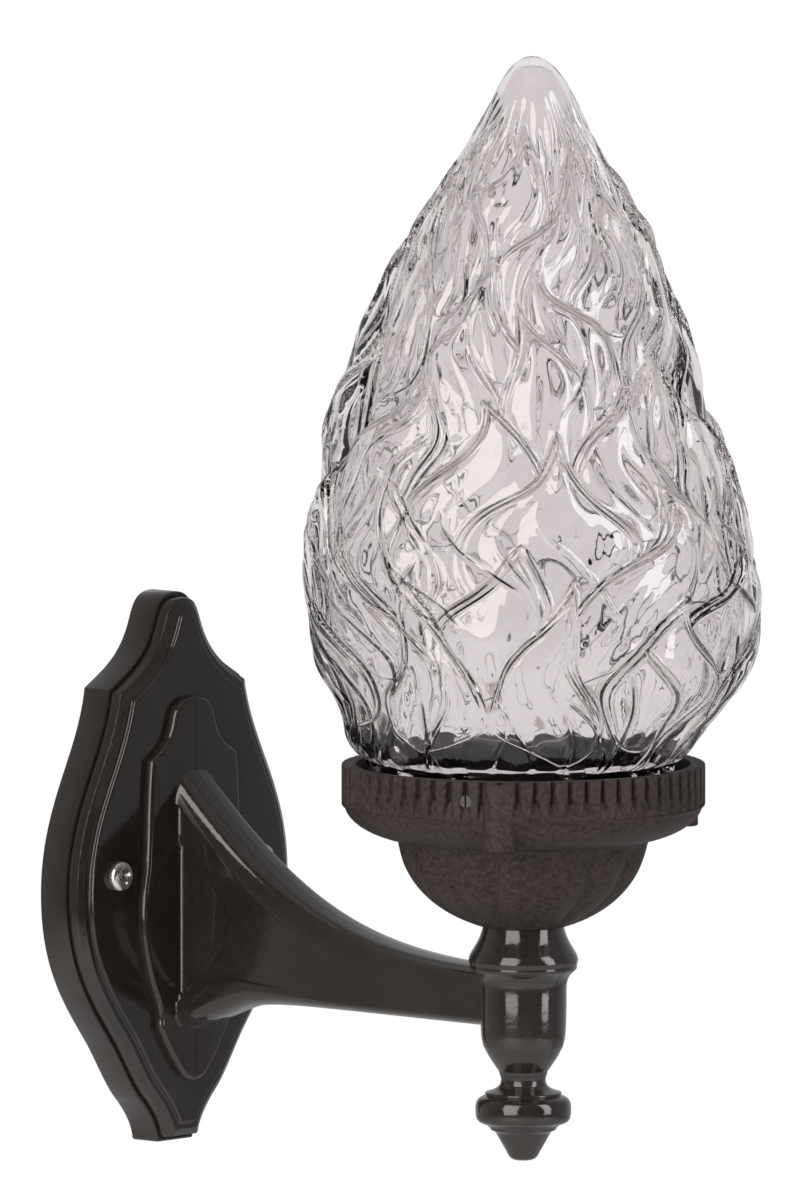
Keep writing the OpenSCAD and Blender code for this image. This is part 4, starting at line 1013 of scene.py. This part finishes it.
def smoothRadius(s, z):
    low = np.clip((s["wideZ"] - z) / (s["wideZ"] - s["neckTop"]), 0, 1)
    swell = s["neckR"] + (s["wideR"] - s["neckR"]) * np.clip(1 - low * low, 0, None) ** 0.75
    up = np.clip((z - s["wideZ"]) / (s["tip"] - s["wideZ"]), 0, 1)
    flank = s["wideR"] * np.clip(1 - up**1.5, 0, None) ** 0.85
    down = np.clip(s["tip"] - z, 0, None)
    top = np.sqrt(flank**2 + 2 * s["tipRound"] * down * np.exp(-down / s["tipFade"]))
    return np.where(z <= s["neckTop"], s["neckR"], np.where(z < s["wideZ"], swell, top))


def bends(rows, turn, z):
    return sum(size * np.sin(np.radians(round_ * turn + slope * z + start)) for size, round_, slope, start in rows)


def flameRelief(s, turn, z):
    # rows of flame-shaped tongues, each rounded over; their raised ropes are only in the glass's bump
    bentTurn = turn + bends(s["turnBends"], turn, z)
    bentZ = z + bends(s["riseBends"], turn, z)
    height = np.zeros(turn.shape)
    near = ease((s["tip"] - 12 - z) / 45)
    fine = ease((z - s["neckTop"]) / 8) * ease((s["tip"] - 9 - z) / 22)
    for k in range(s["rows"]):
        v = (bentZ - s["foot"] - k * s["rowPitch"]) / s["tongueH"]
        lean = s["tongueLean"] * (1 + s["rowSwing"] * math.sin(s["swingStep"] * k))
        a = (bentTurn - s["tongueTurn"] - lean * v) * s["tongues"] / 360 + k / 2
        which = np.round(a)
        step = 2 * math.pi / s["tongues"] * which
        v = v * (1 + s["shorter"] + s["shorter"] * np.sin(3 * step + s["shortStep"] * k))
        w = np.clip(v, 1e-4, 1 - 1e-4)
        u = np.abs(2 * (a - which - s["hook"] * w * w * np.sin(5 * step + s["hookStep"] * k)))
        half = s["tongueWide"] * np.sin(np.pi * w ** s["widestAt"]) ** s["ogee"]
        d = np.clip(u / half, 0, 1)
        t = np.clip((w - s["swellFrom"]) / (1 - s["swellFrom"]), 0, 1)
        swell = np.clip(np.sin(np.pi * t ** s["swellBend"]), 0, 1) ** s["swellPower"]
        share = s["leastSwell"] + (1 - s["leastSwell"]) * swell
        body = s["relief"] * near * share * (1 - d * d) ** s["acrossPower"]
        height = np.where((v > 0) & (v < 1) & (u < half), np.maximum(height, body), height)
    stem = (0.5 + 0.5 * np.cos(np.radians(s["stems"] * (bentTurn + 0.5 * (z - 60)) + 70 * np.sin(z / 6)))) ** 2
    stem *= 0.6 + 0.4 * np.sin(np.radians(7 * turn + 6 * z))
    foot = s["stemH"] * stem * ease((z - 43) / 3) * ease((70 - z) / 16)
    lumps = s["lumpH"] * np.sin(np.radians(22 * bentTurn + 5 * z)) * np.sin(np.radians(11 * bentTurn - 9 * z + 50))
    return np.maximum(height, foot) + lumps * fine


def globeWall(s, around, heights, wall, share):
    turn, z = np.meshgrid(np.arange(around) * 360 / around, heights)
    fade = ease((z - s["neckTop"]) / 14) * ease((s["tip"] - z) / 40)
    relief = flameRelief(s, turn, z) - s["inside"] * fade
    r = smoothRadius(s, z) - wall + share * relief * np.where(z > s["neckTop"] - 4, 1, 0)
    r = s["mostR"] - s["blunt"] * np.log1p(np.exp((s["mostR"] - r) / s["blunt"]))  # inside the frame's box
    r = np.maximum(r, 0.4)
    sway = np.cos(np.radians(360 * (z - s["neckTop"] - s["swayFrom"]) / s["swayH"]))
    lean = ease((z - s["neckTop"]) / s["leanFull"]) * s["lean"] * (s["swayMean"] + sway)
    x = r * np.cos(np.radians(turn)) + lean * math.cos(math.radians(s["leanTurn"]))
    y = -reach + r * np.sin(np.radians(turn)) + lean * math.sin(math.radians(s["leanTurn"]))
    streak = ease((z - s["neckTop"]) / 4) * ease((s["tip"] - 15 - z) / 30)
    return np.stack([x, y, z], 2).reshape(-1, 3), streak.ravel()


def makeGlobe(s):
    points, streak, faces, firsts = [], [], [], []
    for around, count, top, wall, share in (
        (s["around"], s["up"], s["tip"], 0.0, 1.0),
        (s["innerAround"], s["innerUp"], s["tip"] - s["wall"], s["wall"], s["innerShare"]),
    ):
        k = np.arange(count) / count
        body = s["neckTop"] + (top - s["neckTop"]) * (1 - (1 - k) ** 1.2)
        heights = np.concatenate([[s["low"], s["low"] + 0.3, s["low"] + 1, 36.0, 42.0, 43.0, 44.0, 45.0, 45.8], body])
        p, g = globeWall(s, around, heights, wall, share)
        start = len(points)
        firsts.append(start)
        points += [tuple(q) for q in p]
        streak += list(g)
        rows = len(heights)
        for i in range(rows - 1):
            for j in range(around):
                a, b = start + i * around + j, start + i * around + (j + 1) % around
                quad = (a, b, b + around, a + around)
                faces.append(quad if wall == 0 else quad[::-1])
        last = start + (rows - 1) * around
        centre = np.mean(np.array(points[last:]), axis=0)
        points.append((centre[0], centre[1], top))
        streak.append(0.0)
        for j in range(around):
            tri = (last + j, last + (j + 1) % around, len(points) - 1)
            faces.append(tri if wall == 0 else tri[::-1])
    step = s["around"] // s["innerAround"]
    for j in range(s["innerAround"]):
        outer = [(step * j + q) % s["around"] for q in range(step + 1)]
        faces.append((*outer[::-1], firsts[1] + j, firsts[1] + (j + 1) % s["innerAround"]))
    mesh = bpy.data.meshes.new("Globe")
    mesh.from_pydata([(x * mm, y * mm, z * mm) for x, y, z in points], [], faces)
    layer = mesh.attributes.new("streakShare", "FLOAT", "POINT")
    layer.data.foreach_set("value", np.array(streak, dtype=np.float32))
    mesh.shade_smooth()
    mesh.update()
    globe = bpy.data.objects.new("Globe", mesh)
    bpy.context.collection.objects.link(globe)
    finishPiece(globe, "clearGlass", "glass", "clear_glass", "globe", "globe_neck")


makeGlobe(globeSizes)
print("globe made")

# The pieces that keep the frame's own shapes
keptFinishes = {
    "wall_strap": "zincSteel", "cable_grommet": "blackRubber", "terminal_block": "creamPlastic",
    "terminal_screws": "brass", "block_screw": "zincSteel", "foot_screws": "zincSteel", "threaded_tube": "zincSteel",
    "tube_washer": "zincSteel", "tube_nut": "zincSteel", "globe_gasket": "blackRubber", "set_screw_a": "darkSteel",
    "set_screw_b": "darkSteel", "set_screw_c": "darkSteel", "lampholder_cap": "blackPlastic",
    "lampholder_insert": "porcelain", "lampholder_sleeve": "blackPlastic", "thread_shell": "brass",
    "centre_contact": "brass", "wire_live": "brownInsulation", "wire_neutral": "blueInsulation",
}
for name, finish in keptFinishes.items():
    for place in nodes[name].material_slots:
        place.material = materials[finish]
print("finishes given to", len(keptFinishes), "kept nodes")

# Floor, lamps and surroundings
stageSizes = {
    "floorZ": -0.6, "floorHalf": 2.6, "centre": (0.0, -0.12, 0.08),
    "lamps": [
        # turn to the camera's left, height of the middle, distance, width, height, brightness, colour
        (30.0, 0.5, 1.6, 1.1, 1.9, 5.8, (1.0, 0.97, 0.92)),
        (-60.0, 0.5, 1.6, 0.6, 1.9, 6.8, (0.98, 0.96, 1.0)),
    ],
    "topLamp": (1.7, 1.3, 0.35),
}


def makeStage(s):
    half = s["floorHalf"] / mm
    points = [(x * half, y * half, s["floorZ"] / mm) for x, y in ((-1, -1), (1, -1), (1, 1), (-1, 1))]
    floor = makePiece("floor", points, [(0, 1, 2, 3)])
    material, shader, add, link, put, calc, coords = startMaterial("paleFloor")
    link(rampOn(add, link, noiseOn(add, link, coords, 4.0), [(0.3, (0.8, 0.8, 0.8)), (0.7, (0.84, 0.84, 0.84))]),
         shader.inputs["Base Color"])
    shader.inputs["Roughness"].default_value = 0.9
    white = add("ShaderNodeEmission")
    mix = add("ShaderNodeMixShader")
    link(add("ShaderNodeLightPath").outputs["Is Camera Ray"], mix.inputs["Fac"])
    link(shader.outputs[0], mix.inputs[1])
    link(white.outputs[0], mix.inputs[2])
    link(mix.outputs[0], material.node_tree.nodes["Material Output"].inputs["Surface"])
    floor.data.materials.append(material)
    back = Vector((-forward.x, -forward.y, 0)).normalized()
    left = Vector((back.y, -back.x, 0))
    centre = Vector(s["centre"])

    def addLamp(name, place, width, height, bright, colour):
        data = bpy.data.lights.new(name, "AREA")
        data.shape = "RECTANGLE"
        data.size, data.size_y = width, height
        data.energy = bright * math.pi * width * height
        data.color = colour
        lamp = bpy.data.objects.new(name, data)
        bpy.context.collection.objects.link(lamp)
        lamp.visible_transmission = False  # from behind, the lamps aren't seen through the globe
        lamp.location = place
        lamp.rotation_mode = "QUATERNION"
        lamp.rotation_quaternion = (centre - place).to_track_quat("-Z", "Y")

    for k, (turn, rise, far, width, height, bright, colour) in enumerate(s["lamps"]):
        a = math.radians(turn)
        place = centre + (back * math.cos(a) + left * math.sin(a)) * far + Vector((0, 0, rise))
        addLamp(f"softbox{k + 1}", place, width, height, bright, colour)
    high, size, bright = s["topLamp"]
    addLamp("topLamp", centre + Vector((0, 0, high)) + back * 0.3, size, size, bright, (1.0, 1.0, 1.0))


def makeSurroundings():
    world = bpy.data.worlds.new("studio")
    bpy.context.scene.world = world
    world.use_nodes = True
    tree = world.node_tree
    add, link, put, calc = treeTools(tree)
    shader = tree.nodes["Background"]
    direction = add("ShaderNodeTexCoord").outputs["Generated"]

    def towards(axis):
        node = add("ShaderNodeVectorMath", operation="DOT_PRODUCT")
        link(direction, node.inputs[0])
        node.inputs[1].default_value = axis
        return calc("ADD", calc("MULTIPLY", node.outputs["Value"], 0.5), 0.5)

    along = towards(forward.normalized())
    leftward = towards(Vector((-forward.y, forward.x, 0)).normalized())
    soft = rampOn(add, link, leftward, [(0.0, (0.02, 0.019, 0.018)), (0.5, (0.17, 0.167, 0.164)), (1.0, (0.85, 0.84, 0.83))])
    mirrored = rampOn(add, link, along, [
        (0.05, (0.03, 0.028, 0.027)), (0.3, (0.14, 0.135, 0.13)), (0.45, (0.3, 0.295, 0.3)), (0.95, (0.5, 0.5, 0.5))])
    seen = rampOn(add, link, along, [
        (0.1, (0.3, 0.27, 0.25)), (0.5, (0.56, 0.52, 0.5)), (0.8, (0.86, 0.83, 0.82)), (0.93, (1.0, 0.995, 0.995))])
    path = add("ShaderNodeLightPath")

    def blend(share, a, b):
        node = add("ShaderNodeMix", data_type="RGBA")
        link(share, node.inputs["Factor"])
        put(a, node.inputs["A"])
        put(b, node.inputs["B"])
        return node.outputs["Result"]

    colour = blend(path.outputs["Is Glossy Ray"], soft, mirrored)
    colour = blend(calc("GREATER_THAN", path.outputs["Transmission Depth"], 0.5), colour, seen)
    colour = blend(path.outputs["Is Camera Ray"], colour, (1.0, 1.0, 1.0, 1.0))
    link(colour, shader.inputs["Color"])
    shader.inputs["Strength"].default_value = 1.0
    bpy.context.scene.view_settings.view_transform = "Standard"


makeStage(stageSizes)
makeSurroundings()
print("floor, lamps and surroundings made")
